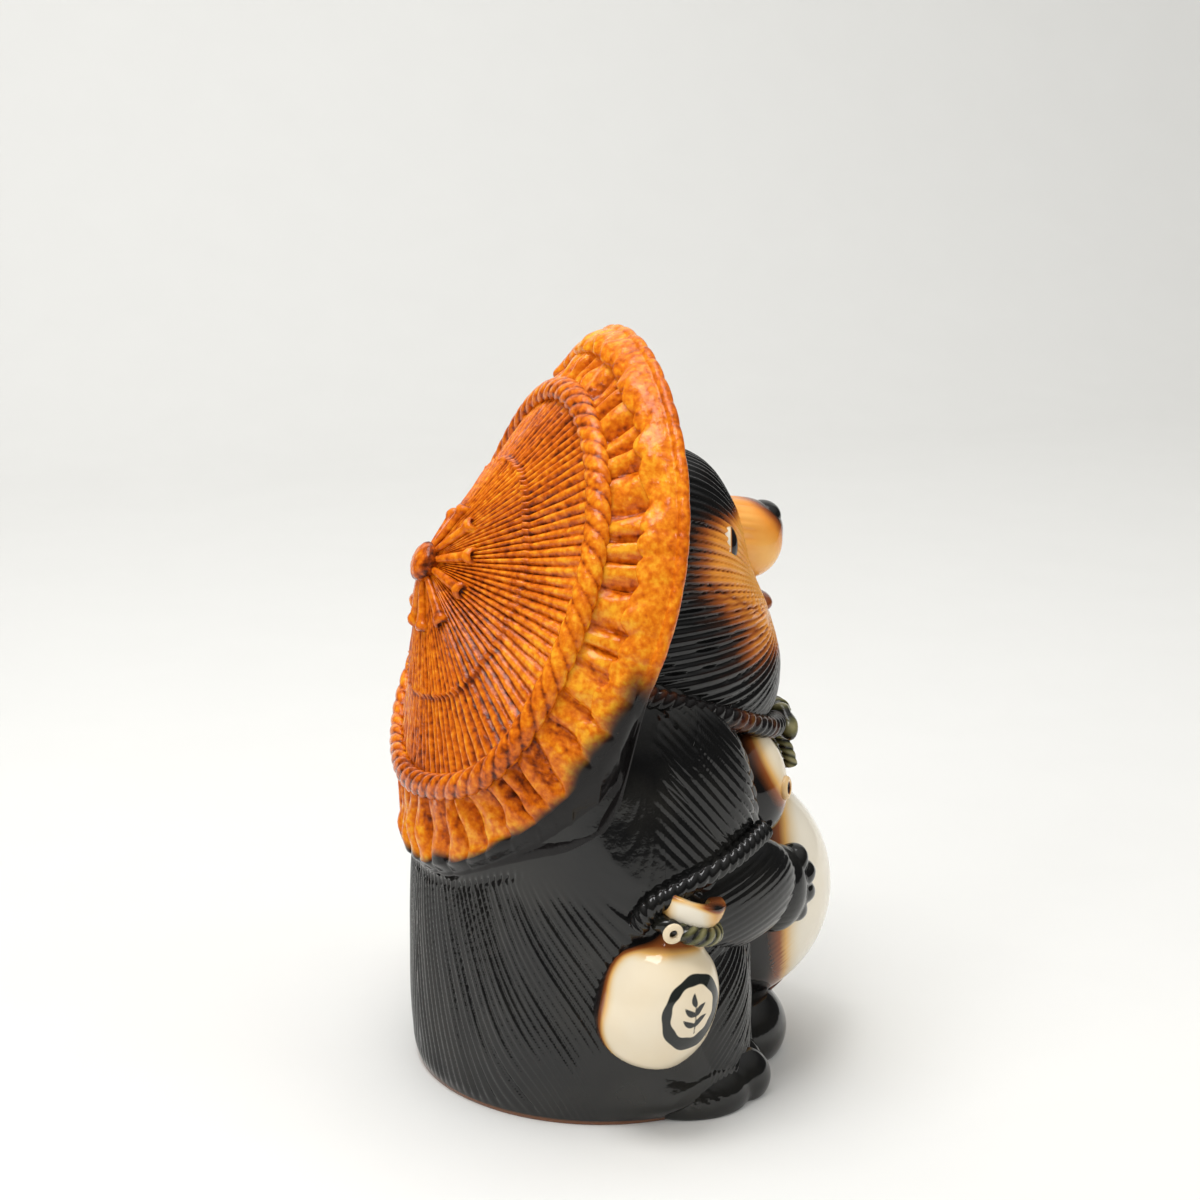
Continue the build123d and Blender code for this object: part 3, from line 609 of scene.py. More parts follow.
def side_reach(places):
    """How far forward places show from the photograph's side: the airbrushed edges lie along it."""
    across, forward = SIDE_VIEW
    return across * np.abs(places[..., 0]) - forward * places[..., 1]


def hat_place(side, up, back):
    """Places from the hat's own axes: across it, up its rim and back along its axis."""
    return HAT_MIDDLE + side[..., None] * HAT_SIDE + up[..., None] * HAT_UP + back[..., None] * HAT_BACK


def braid_back(angle):
    """How far back the braid lies on the hat's axis: the crown drops more to the sides than to the top."""
    return HAT_APEX - CROWN_DROP_SIDE * np.cos(angle) ** 2 - CROWN_DROP_TOP * np.sin(angle) ** 2


def rim_back(angle):
    """How far back the rim lies on the hat's axis: the brim drops on from the braid."""
    return braid_back(angle) - BRIM_DROP_SIDE * np.cos(angle) ** 2 - BRIM_DROP_TOP * np.sin(angle) ** 2


def braid_reach(angle):
    """How far the braid stands out across the hat and up it: an oval that bulges low on both sides."""
    from_swell = (np.arcsin(np.sin(angle)) - SWELL_ANGLE) / SWELL_REACH
    swell = 1 + BRAID_SWELL * np.exp(-(from_swell**2))
    return BRAID_SIDE * swell * np.cos(angle), BRAID_TOP * swell * np.sin(angle)


def hat_crown():
    """Straight lines from the point to the braid, raised into straw ribs that wander, over a plain inside.

    The inner layer of straw ends in a small step, sewn down by a bead on each rib.
    """
    rows, cols = 104, 8 * RIB_COUNT
    share = np.linspace(0, 1, rows)[:, None]
    angle = round_turn(cols)
    turn = angle - math.pi / 2
    wander = turn + 0.006 * wobble(14 * angle, 9 * share, 11) * share
    ridge = np.abs(np.cos(RIB_COUNT / 2 * wander)) ** 0.75
    rib = np.round(RIB_COUNT * wander / TURN).astype(int) % RIB_COUNT
    bonus = np.random.default_rng(15).uniform(-0.5, 0.35, RIB_COUNT)[rib] * ridge
    rise = smooth_through(*RIB_RISE, share)
    lumps = 0.22 * wobble(70 * angle, 45 * share, 12) + 0.5 * wobble(7 * angle, 6 * share, 13)
    from_ring = share - STITCH_RING - 0.005 * wobble(9 * angle, share, 14)
    layer = LAYER_STEP * fade(0.006, -0.004, from_ring) * fade(0.0, 0.3, share)
    bead = np.exp(-((from_ring / 0.009) ** 2)) * ridge**2
    height = rise * (bonus - RIB_DEPTH * (1 - ridge)) + lumps * share + layer + bead - 0.3
    back = HAT_APEX + (braid_back(angle) - HAT_APEX) * share
    braid_side, braid_up = braid_reach(angle)
    side, up = braid_side * share, braid_up * share
    outer = hat_place(side, up, back + height)
    inner = hat_place(side, up, back - HAT_WALL)[:: -(rows // 8)]
    crease = np.exp(-(((from_ring - 0.014) / 0.009) ** 2))
    groove = np.clip((1 - ridge) ** 0.8 + 0.45 * crease, 0, 1) * fade(0.02, 0.15, share)
    patch = {"places": np.concatenate([outer, inner])}
    patch["groove"] = np.concatenate([groove, np.full(inner.shape[:2], 0.5)])
    skin("hat_crown_straw", [patch], AMBER, ["hat_crown"])


def hat_brim():
    """Lines from the braid to the rim: soft pads with bundles of creases between them, then a rolled rim.

    Low on the sides and at the back the rim has no roll: slip lutes it to the body in a black slope.
    """
    rows, cols = 74, 16 * PLEAT_COUNT
    share = np.linspace(0, 1, rows)[:, None]
    angle = round_turn(cols)
    low = fade(0.05, -0.45, np.sin(angle))
    phase = PLEAT_COUNT * (angle - math.pi / 2) / TURN + 0.3 * wobble(19 * angle, 3.5 * share, 21)
    nearest = np.round(phase)
    aside = phase - nearest
    kind = nearest.astype(int) % PLEAT_COUNT
    draw = np.random.default_rng(26)
    pad = 1 - (1 - np.minimum(np.abs(aside) / 0.42, 1)) ** 2
    crease = np.zeros(aside.shape)
    for offset in CREASE_OFFSETS:
        strength = draw.uniform(0.1, 1.0, PLEAT_COUNT)[kind]
        crease += strength * np.exp(-(((aside - offset) / CREASE_WIDTH) ** 2))
    pads = smooth_through(*PAD_RISE, share)
    low_pads = smooth_through(*LOW_PAD_RISE, share)
    uneven = 1 + 0.5 * draw.uniform(-1, 1, PLEAT_COUNT)[kind] * (1 - pad) ** 2
    swell = (pads + (low_pads - pads) * low) * uneven
    round_roll = np.sqrt(np.maximum(1 - ((share - ROLL_AT) / ROLL_REACH) ** 2, 0))
    roll = round_roll * ROLL_RISE * (1 - 0.9 * low)
    dents = 1.5 * wobble(24 * angle, 5 * share, 23) + 0.9 * wobble(60 * angle, 11 * share, 24)
    crumple = dents * fade(0.0, 0.2, share) * fade(1.0, 0.8, share)
    creased = fade(0.05, 0.2, share) * fade(0.78 + 0.2 * low, 0.5 + 0.25 * low, share)
    height = swell * (pad - 0.75) + roll + crumple - 0.8 * crease * creased
    reach = share * (1 - (0.022 + 0.012 * low) * (1 - pad) * share**2)
    braid_side, braid_up = braid_reach(angle)
    side = braid_side + (RIM_SIDE * np.cos(angle) - braid_side) * reach
    up = braid_up + (RIM_TOP * np.sin(angle) - braid_up) * reach
    back = braid_back(angle) + (rim_back(angle) - braid_back(angle)) * share
    wall = HAT_WALL - RIM_THINNING * fade(0.5, 1.0, share)
    outer = hat_place(side, up, back + height)
    turn = np.linspace(0.06, 0.94, 15)[:, None]
    half = (wall[-1:] + height[-1:]) / 2
    swing = half * np.sin(math.pi * turn)
    edge_back = back[-1:] - wall[-1:] + half + half * np.cos(math.pi * turn)
    rim = hat_place(side[-1:] + swing * np.cos(angle), up[-1:] + swing * np.sin(angle), edge_back)
    luted = fade(-0.06, -0.22, np.sin(angle))
    rim = rim + (luting(outer, turn, angle) - rim) * luted[..., None]
    drawn_in = 1 - 0.10 * luted * share
    inner = hat_place(side * drawn_in, up * drawn_in, back - wall)[::-8]
    # Painted shade: a dark band beside the braid, where the braid shades the brim, and dark valleys between
    # the pads near the braid, where the glaze also pools.
    braid_shadow = 0.5 * fade(0.16, 0.02, share)
    valley_pool_and_shade = 0.55 * (1 - pad) * fade(0.8 + 0.2 * low, 0.4, share)
    groove = np.clip(0.6 * crease * creased + braid_shadow + valley_pool_and_shade, 0, 1)
    near_end = fade(-0.62, -0.35, np.sin(angle))
    blackened = fade(0.05, -0.10, np.sin(angle))
    ragged = share + 0.05 * wobble(30 * angle, share, 25)
    soot = blackened * fade(0.87 - 0.12 * near_end, 1.02 - 0.04 * near_end, ragged)
    patch = {"places": np.concatenate([outer, rim, inner])}
    patch["groove"] = np.concatenate([groove, np.full(rim.shape[:2], 0.1), np.full(inner.shape[:2], 0.5)])
    rim_soot = np.broadcast_to(blackened, rim.shape[:2])
    inner_soot = np.broadcast_to(np.maximum(blackened, 0.3), inner.shape[:2])
    patch["soot"] = np.concatenate([soot, rim_soot, inner_soot])
    skin("hat_brim_frill", [patch], AMBER, ["hat_brim"])


def luting_drop(angle):
    """How far below the brim's edge the luting slip ends, by the hat's angle."""
    return smooth_through(np.radians(LUTING_ANGLES), LUTING_DROPS, np.arcsin(np.sin(angle)))


def luting(frill, share, angle):
    """The slip's slope: cubic curves that leave the frill along its lines and end upright in the body."""
    start = frill[-1:]
    onward = start - frill[-4:-3]
    onward /= np.linalg.norm(onward, axis=2, keepdims=True)
    drop = luting_drop(angle)
    end_height = start[..., 2] - drop
    width, set_y = body_width(end_height)
    turn = np.arctan2((start[..., 1] - set_y) / BODY_DEPTH, start[..., 0])
    sunk = width - 1
    end = joined(sunk * np.cos(turn), set_y + BODY_DEPTH * sunk * np.sin(turn), end_height)
    t = share[..., None]
    leave = onward * 0.5 * drop[..., None]
    arrive = joined(0, 0, -1.1 * drop)
    first = start * (1 + 2 * t) + leave * t
    last = end * (3 - 2 * t) + arrive * (t - 1)
    return over_body(first * (1 - t) ** 2 + last * t**2, 1.0 - 2.5 * fade(0.7, 1.0, share))


def over_body(places, cover):
    """Places pushed level outwards until they cover the body's wall and its swell beside the upper arm."""
    x, y, z = np.moveaxis(places, -1, 0)
    width, set_y = body_width(z)
    rise, reach = ARM_FILLET
    near = np.maximum(lobe_depth(joined(-np.abs(x), y, z), UPPER_ARM), 0)
    wall = width + rise * np.exp(-((near / reach) ** 1.3)) + cover
    offset = (y - set_y) / BODY_DEPTH
    stretch = np.maximum(wall / np.hypot(x, offset), 1)
    return joined(x * stretch, set_y + BODY_DEPTH * offset * stretch, z)


def under_hat(places, clearance=1.0):
    """Places pushed forward along the hat's axis until they lie inside its inner face."""
    offset = places - HAT_MIDDLE
    side, up, back = offset @ HAT_SIDE, offset @ HAT_UP, offset @ HAT_BACK
    angle = np.arctan2(up / BRAID_TOP, side / BRAID_SIDE)
    braid_side, braid_up = braid_reach(angle)
    share = np.hypot(up, side) / np.hypot(braid_up, braid_side)
    beyond = (share - 1) * BRAID_TOP / (RIM_TOP - BRAID_TOP)
    crown = HAT_APEX + (braid_back(angle) - HAT_APEX) * share
    brim = braid_back(angle) + (rim_back(angle) - braid_back(angle)) * beyond
    limit = np.where(share < 1, crown, brim) - HAT_WALL - clearance
    over = np.where(beyond < 1.05, np.maximum(back - limit, 0), 0)
    return places - over[..., None] * HAT_BACK


def luting_end(around):
    """Where the slip ends, by direction round the body: 0 at either side, a quarter turn at the back."""
    angle = np.linspace(-math.pi / 2, -0.06, 60)
    edge = hat_place(RIM_SIDE * np.cos(angle), RIM_TOP * np.sin(angle), rim_back(angle) - HAT_WALL / 2)
    direction = np.arctan2(edge[:, 1], -edge[:, 0])
    order = np.argsort(direction)
    return np.interp(around, direction[order], (edge[:, 2] - luting_drop(angle))[order])


def rope(centres, out, over, half_width, half_rise, twists):
    """A laid rope round a path: an oval section whose strands wind a whole number of twists along it.

    The section's two directions are given at each place on the path. Returns places and how deep each lies
    between the strands. Rows run round the section and columns along the path.
    """
    cols = len(centres)
    section = TURN * np.linspace(0, 1, 25)[:, None]
    along = np.linspace(0, 1, cols)[None, :]
    lobe = np.abs(np.cos(STRANDS / 2 * (section - twists * TURN * along)))
    swell = 0.80 + 0.20 * lobe**0.7
    outward = (half_width * np.cos(section) * swell)[..., None]
    upward = (half_rise * np.sin(section) * swell)[..., None]
    return centres[None] + outward * out[None] + upward * over[None], 1 - lobe


def hat_braid():
    """The rope round the seam between crown and brim."""
    cols = 14 * STRANDS * BRAID_TWISTS
    angle = TURN * np.arange(cols + 1) / cols
    ring = hat_place(*braid_reach(angle), braid_back(angle) + BRAID_LIFT)
    rim = hat_place(RIM_SIDE * np.cos(angle), RIM_TOP * np.sin(angle), rim_back(angle))
    out = rim - (HAT_MIDDLE + HAT_BACK * HAT_APEX)
    out /= np.linalg.norm(out, axis=1, keepdims=True)
    along = np.gradient(ring, axis=0)
    along /= np.linalg.norm(along, axis=1, keepdims=True)
    out -= along * (out * along).sum(axis=1, keepdims=True)
    over = np.cross(along, out)
    over *= np.sign((over @ HAT_BACK))[:, None]
    places, gap = rope(ring, out, over, BRAID_HALF_WIDTH, BRAID_HALF_RISE, BRAID_TWISTS)
    patch = {"places": places[:, :-1], "groove": (0.2 + 0.8 * gap**2)[:, :-1]}
    skin("hat_braid_rope", [patch], AMBER, ["hat_braid"])


def hat_button():
    """The domed button on the point: a profile turned about the hat's axis."""
    angle = round_turn(48)
    radius, back = (curve[:, None] for curve in along_points(BUTTON_PROFILE, 40))
    dented = radius * (1 - 0.03 * np.cos(9 * angle))
    places = hat_place(dented * np.cos(angle), dented * np.sin(angle), HAT_APEX + back)
    patch = {"places": places, "groove": 0.8 * fade(6, 9, radius)}
    skin("hat_button", [patch], AMBER, ["hat_knob"])


def hat_spokes():
    """Split reeds round the button: thin half-round bars that end in a flared, hollow bead."""
    share, width, groove = (column[:, None] for column in np.array(REED_PROFILE).T)
    section = round_turn(24)
    patches = []
    for turn in np.arange(SPOKE_COUNT) / SPOKE_COUNT:
        angle = math.pi / 2 + TURN * turn
        line = HAT_APEX + (braid_back(np.array(angle)) - HAT_APEX) * share
        braid_side, braid_up = braid_reach(angle)
        side = braid_side * share - math.sin(angle) * width * np.cos(section)
        up = braid_up * share + math.cos(angle) * width * np.cos(section)
        back = line + SPOKE_LIFT + width * np.sin(section) * SPOKE_FLATNESS
        patches.append({"places": hat_place(side, up, back), "groove": groove})
    skin("hat_reeds", patches, AMBER, ["hat_spokes"])


def body_width(height):
    """Half the body's width, and its set, at heights."""
    heights, widths, sets = np.array(BODY_RINGS, float).T
    return smooth_through(heights, widths, height) / 2, smooth_through(heights, sets, height)


def body_half(name, node, first, last):
    """Half of the hollow body: outer wall, then inner wall, folded shut at the foot ring and the neck.

    The outer wall swells to meet the arms, legs and feet, and is combed below the slip that lutes the hat.
    """
    rows, cols, inner_step = 170, 481, 10
    level = np.linspace(0, BODY_RINGS[-1][0], rows)[:, None]
    width, set_y = body_width(level)
    around = np.linspace(first, last, cols)[None, :]
    level = level + 0 * around
    drawn_in = FRONT_DRAW * (0.4 + 0.6 * fade(0, 26, level)) * fade(0, 0.8, -np.sin(around))
    depth = BODY_DEPTH * (1 - drawn_in)
    section = joined(np.cos(around), depth * np.sin(around), 0)
    middle = joined(0, set_y, level)
    outer = section * width[..., None] + middle
    direction = np.arctan2(outer[..., 1], np.abs(outer[..., 0]))
    slip = luting_end(direction)
    free_of_slip = np.maximum(fade(slip + 3, slip - 3, level), fade(0.1, -0.05, direction))
    groove = fur_groove(outer) * fade(1, 8, level) * free_of_slip
    bead = np.exp(-(((level - slip) / 1.8) ** 2)) * fade(0.6, 0.8, direction)
    groove = np.maximum(groove, 0.8 * bead * np.sin(FUR_RADIUS * direction * math.pi / FUR_PITCH) ** 2)
    lift = np.zeros(level.shape)
    for lobe, (rise, reach) in FILLETS:
        for side in (outer, mirrored(outer)):
            near = np.maximum(lobe_depth(side, lobe), 0)
            lift = np.maximum(lift, rise * np.exp(-((near / reach) ** 1.3)))
    lift *= fade(0, 10, level) * fade(-60, -44, outer[..., 1])
    lift += 0.35 * wobble(outer[..., 1] / 11 + outer[..., 0] / 13, level / 12, 8) * fade(0, 20, level)
    outer = under_hat(raised(outer, lift - FUR_DEPTH * groove, wrap=False))
    inner = under_hat(section * (width - BODY_WALL)[..., None] + middle, BODY_WALL)
    fold = (outer + inner) / 2
    columns = slice(None, None, -inner_step)
    places = np.concatenate([outer, inner[:, columns]], axis=1)
    ends = np.concatenate([fold, fold[:, columns]], axis=1)
    groove = np.concatenate([groove, 0 * groove[:, columns]], axis=1)
    bare = np.concatenate([fade(2.2, 0.8, level), np.ones(level[:, columns].shape)], axis=1)
    patch = {"places": np.concatenate([ends[:1], places, ends[-1:]])}
    patch["groove"] = np.concatenate([groove[:1], groove, groove[-1:]])
    patch["bare"] = np.concatenate([bare[:1], bare, bare[-1:]])
    skin(name, [patch], BLACK, [node])


def arm():
    """Upper arm and forearm as one soft form about the elbow, lightly combed."""
    places = star(ELBOW, [UPPER_ARM, FOREARM], 210, 260, 12)
    forward, height = -places[..., 1], places[..., 2]
    along_forearm = comb((height - 0.35 * forward) / FUR_PITCH, forward / 40, 6)
    groove = np.maximum(shoulder_groove(places), 0.2 * fade(116, 106, height) * along_forearm)
    places = under_hat(raised(places, -FUR_DEPTH * groove))
    pair("arm_fur", [{"places": places, "groove": groove}], BLACK, "arm")


def leg():
    """An upright ellipsoid, combed as the body is, flat below."""
    places = egg(LEG, 160, 180)
    groove = fur_groove(places, 7)
    places = lifted(raised(places, -FUR_DEPTH * groove), GROUND_LEG)
    pair("leg_fur", [{"places": places, "groove": groove}], BLACK, "leg")


def foot():
    """A low dome with toes that fan forward, flat below."""
    places = star(FOOT_CENTRE, [FOOT, *TOES], 90, 170, 22)
    swept = comb((places[..., 2] - 0.7 * places[..., 1]) / FUR_PITCH, places[..., 1] / 30, 17)
    groove = 0.6 * swept * fade(-38, -20, places[..., 1]) * fade(2, 8, places[..., 2])
    places = lifted(raised(places, -FUR_DEPTH * groove), GROUND)
    pair("foot_toes", [{"places": places, "groove": groove}], BLACK, "foot")


def paw():
    """A palm with four short fingers that fan forward from its middle."""
    centre, _, turn = PALM
    lobes = [PALM]
    for tilt in FINGER_TILTS:
        spin = turned(turn) @ turned((tilt, 0, 0))
        place = np.array(centre) + spin @ np.array((0, -FINGER_REACH, 0))
        angles = np.degrees(Matrix(spin).to_euler("ZYX"))
        lobes.append((tuple(place), FINGER_SIZE, tuple(angles)))
    places = star(centre, lobes, 140, 160, 40)
    groove = 0.3 * fade(-74, -60, places[..., 1]) * comb(places[..., 2] / 3.2, places[..., 1] / 20, 9)
    patch = {"places": raised(places, -0.7 * groove), "groove": groove}
    pair("paw_fingers", [patch], BLACK, "paw")


def money_bag():
    """Two soft lobes that swell either side of the middle, flat below."""
    other = (tuple(np.array(BAG_LOBE[0]) * (-1, 1, 1)), *BAG_LOBE[1:])
    places = star((0, BAG_LOBE[0][1], BAG_LOBE[0][2]), [BAG_LOBE, other], 90, 160, 24)
    patch = {"places": lifted(places, GROUND), "groove": 0.0}
    skin("money_bag_lobes", [patch], BLACK, ["money_bag"])


def belly():
    """The belly's dome, toasted dark where it meets the fur, in fine hairs low down."""
    places = lifted(egg(BELLY, 150, 200), GROUND_BELLY)
    reach = side_reach(places)
    hairs = comb(reach / 2.2 + places[..., 2] / 5, places[..., 2] / 20, 31) * fade(70, 40, places[..., 2])
    scorch = np.clip(fade(95, 76, reach) + 0.3 * hairs * fade(98, 84, reach), 0, 1)
    skin("belly_dome", [{"places": places, "scorch": scorch}], CREAM, ["belly"])


def breast():
    """Breasts toasted dark where they meet the arm, each with a small ring round a dark hole."""
    places = egg(BREAST, 120, 160)
    reach = side_reach(places)
    scorch = 0.08 + 0.92 * fade(79, 66, reach - 0.5 * (150 - places[..., 2]))
    pair("breast_dome", [{"places": places, "scorch": scorch}], CREAM, "breast")
    around = round_turn(48)[..., None]
    section = TURN * np.linspace(0, 1, 17)[:, None, None]
    half = np.array(BREAST[1]) / 2
    outward = NIPPLE_TOWARDS / half
    outward /= np.linalg.norm(outward)
    level = np.cross((0, 0, 1.0), outward)
    level /= np.linalg.norm(level)
    upright = np.cross(outward, level)
    radius = NIPPLE_RADIUS + NIPPLE_HALF * np.cos(section)
    ring = radius * (np.cos(around) * level + np.sin(around) * upright)
    ring = ring + NIPPLE_HALF * np.sin(section) * outward
    scorch = (0.3 + 0.7 * fade(3.0, 2.2, radius))[..., 0]
    patch = {"places": np.array(BREAST[0]) + half * NIPPLE_TOWARDS + ring, "scorch": scorch}
    pair("nipple_ring", [patch], CREAM, "nipple")


def head():
    """The head's rings, combed with strokes that fan out from the mouth, airbrushed towards the face."""
    places = stacked(HEAD_RINGS, HEAD_DEPTH, 250, 380)
    x, y, z = np.moveaxis(places, -1, 0)
    fan = np.arctan2(x, z - FAN_HEIGHT) / TURN * HEAD_STROKES
    reach = side_reach(places)
    groove = comb(fan, y / 26, 41) * fade(88, 78, reach) * fade(146, 156, z)
    whiskers = np.minimum(*(stroke_distance(y, z, start, end) for start, end in WHISKERS))
    incised = np.exp(-((whiskers / 0.9) ** 2))
    warm = 0.88 * fade(48, 86, reach + 20 * fade(196, 232, z)) * fade(174, 198, z)
    warm *= 1 - fade(242, 256, z + 0.12 * (reach - 60))
    warm = warm - 0.15 * incised
    places = under_hat(raised(places, -HEAD_FUR_DEPTH * groove - 0.7 * incised))
    patch = {"places": places, "groove": groove, "warm": warm}
    skin("head_fur", [patch], FACE, ["head_shell"])


def stroke_distance(across, up, start, end):
    """How far places lie from a straight stroke, in a plane."""
    span = np.array(end, float) - np.array(start, float)
    along = ((across - start[0]) * span[0] + (up - start[1]) * span[1]) / (span @ span)
    along = np.clip(along, 0, 1)
    return np.hypot(across - start[0] - along * span[0], up - start[1] - along * span[1])


def face():
    """Muzzle, nose, lip, eyes and ears: soft ellipsoids, the ears with a hollow pressed into them."""
    muzzle = star(MUZZLE_CENTRE, [BRIDGE, SNOUT, MUZZLE_ROOT], 120, 150, 14)
    x, y, z = np.moveaxis(muzzle, -1, 0)
    crease = np.abs(np.sin((z - 0.3 * np.abs(x) - 0.2 * y) / 1.3)) ** 4
    crease *= fade(-78, -66, y) * fade(226, 238, z)
    shade_place, shade_reach = NOSE_SHADE
    by_nose = np.exp(-((np.linalg.norm(muzzle - np.array(shade_place), axis=2) / shade_reach) ** 2))
    warm = 0.87 + 0.15 * fade(238, 222, z) - 1.1 * by_nose - 0.2 * fade(-66, -56, y)
    patch = {"places": raised(muzzle, -0.25 * crease), "warm": warm, "groove": 0.15 * crease}
    skin("muzzle_snout", [patch], FACE, ["muzzle"])
    nose = egg(NOSE, 60, 80)
    skin("nose_tip", [{"places": nose, "groove": 0.0}], BLACK, ["nose"])
    lip = egg(LIP, 50, 70)
    patch = {"places": lip, "warm": 0.42, "groove": 0.0}
    skin("lower_lip_roll", [patch], FACE, ["lower_lip"])
    eye = egg(EYE, 80, 100)
    white = fade(61.3, 60.2, side_reach(eye)) * fade(246, 244, eye[..., 2])
    pair("eye_ball", [{"places": eye, "scorch": 1 - white}], CREAM, "eye")
    ear = egg(EAR, 70, 90)
    (hollow_x, hollow_z), (half_x, half_z), deep = EAR_HOLLOW
    away = ((ear[..., 0] - hollow_x) / half_x) ** 2 + ((ear[..., 2] - hollow_z) / half_z) ** 2
    hollow = np.exp(-away) * fade(-10, -14, ear[..., 1])
    patch = {"places": under_hat(ear + joined(0, deep * hollow, 0)), "warm": 0.55 * hollow, "groove": 0.0}
    pair("ear_cup", [patch], FACE, "ear")


def path_frame(points, cols, base):
    """A smooth path through points, with unit directions across it and away from a centre line."""
    centres = joined(*along_points(points, cols))
    along = np.gradient(centres, axis=0)
    along /= np.linalg.norm(along, axis=1, keepdims=True)
    over = centres - np.array(base)
    over -= along * (over * along).sum(axis=1, keepdims=True)
    over /= np.linalg.norm(over, axis=1, keepdims=True)
    return centres, np.cross(along, over), over


def tapered_ends(places, centres):
    """The rope with its rows along the path, closed on its own centre line at both ends."""
    places = places[:-1].transpose(1, 0, 2)
    first, last = (np.broadcast_to(centres[k], places[:1].shape) for k in (0, -1))
    return np.concatenate([first, places, last])


def cord(points, half, twists, base, cols):
    """A twisted cord along a path, and how deep its places lie between the strands."""
    centres, out, over = path_frame(points, cols, base)
    places, gap = rope(centres, out, over, half, half, twists)
    gap = gap[:-1].T
    return tapered_ends(places, centres), np.concatenate([gap[:1], gap, gap[-1:]])


def cords():
    """Chin cord, tails and the sling from wrist to flask, laid along their paths, and a folded knot."""
    places, gap = cord(CHIN_PATH, *CHIN_ROPE, 400)
    places = under_hat(places)
    soot = np.clip(1.02 + 0.16 * wobble(places[..., 0] / 4, places[..., 2] / 4, 51), 0, 1)
    patch = {"places": places, "groove": gap, "soot": soot}
    pair("chin_cord_rope", [patch], AMBER, "chin_cord")
    knot = star(KNOT[0], [KNOT, *BOWS], 90, 120, 20)
    fold = np.abs(np.sin(np.arctan2(knot[..., 2] - KNOT[0][2], knot[..., 0]) * 5)) ** 2
    patch = {"places": raised(knot, -0.8 * fold), "groove": fold}
    skin("chin_knot_bow", [patch], OLIVE, ["chin_knot"])
    tails = []
    for side in (-1, 1):
        places, gap = cord(np.array(TAIL_PATH) * (side, 1, 1), *TAIL_ROPE, 60)
        tails.append({"places": places, "groove": gap})
    skin("knot_tail_cords", tails, OLIVE, ["knot_tails"])
    places, gap = cord(SLING_PATH, *SLING_ROPE, 260)
    skin("sling_rope", [{"places": places, "groove": gap}], BLACK, ["sling_cord"])


def flask_turn(profile, rows, cols):
    """A profile of radius and height turned about the flask's axis."""
    radius, height = (curve[:, None] for curve in along_points(profile, rows))
    radius = np.maximum(radius, 0)
    angle = round_turn(cols)
    side = (radius * np.cos(angle))[..., None] * FLASK_X + (radius * np.sin(angle))[..., None] * FLASK_Y
    return FLASK_FOOT + side + height[..., None] * FLASK_AXIS


def leaf(across, up, root, tip):
    """Signed distance, below 0 inside, of a brushed leaf from its root to its tip."""
    span = np.array(tip, float) - np.array(root, float)
    length = math.hypot(*span)
    along = ((across - root[0]) * span[0] + (up - root[1]) * span[1]) / length**2
    aside = ((up - root[1]) * span[0] - (across - root[0]) * span[1]) / length
    within = np.clip(along, 0, 1)
    body = LEAF_WIDTH * np.sqrt(within) * (1 - within) * 2.6
    beyond = np.maximum(np.maximum(-along, along - 1), 0) * length
    return np.abs(aside - 0.10 * length * np.sin(math.pi * within)) - body + beyond


def brushed_mark(places, centre):
    """Signed distance, below 0 inside, of a brushed ring with a leafy sprig, laid on a round form."""
    out = places - centre
    out = out / np.linalg.norm(out, axis=2, keepdims=True)
    facing = np.array(MARK_FACING) / np.linalg.norm(MARK_FACING)
    level = np.cross((0, 0, 1.0), facing)
    level /= np.linalg.norm(level)
    upright = np.cross(facing, level)
    away = np.arccos(np.clip(out @ facing, -1, 1)) * MARK_SPHERE
    turn = np.arctan2(out @ upright, out @ level)
    brush = MARK_BRUSH + 0.9 * np.sin(turn + 2.4) + 0.25 * np.sin(9 * turn)
    ring = np.abs(away - MARK_RADIUS - 0.5 * np.sin(2 * turn)) - brush
    across, up = away * np.cos(turn), away * np.sin(turn)
    mark = np.minimum(ring, stroke_distance(across, up, *SPRIG_STEM) - STEM_HALF)
    for root, tip in SPRIG_LEAVES:
        mark = np.minimum(mark, leaf(across, up, root, tip))
    return mark


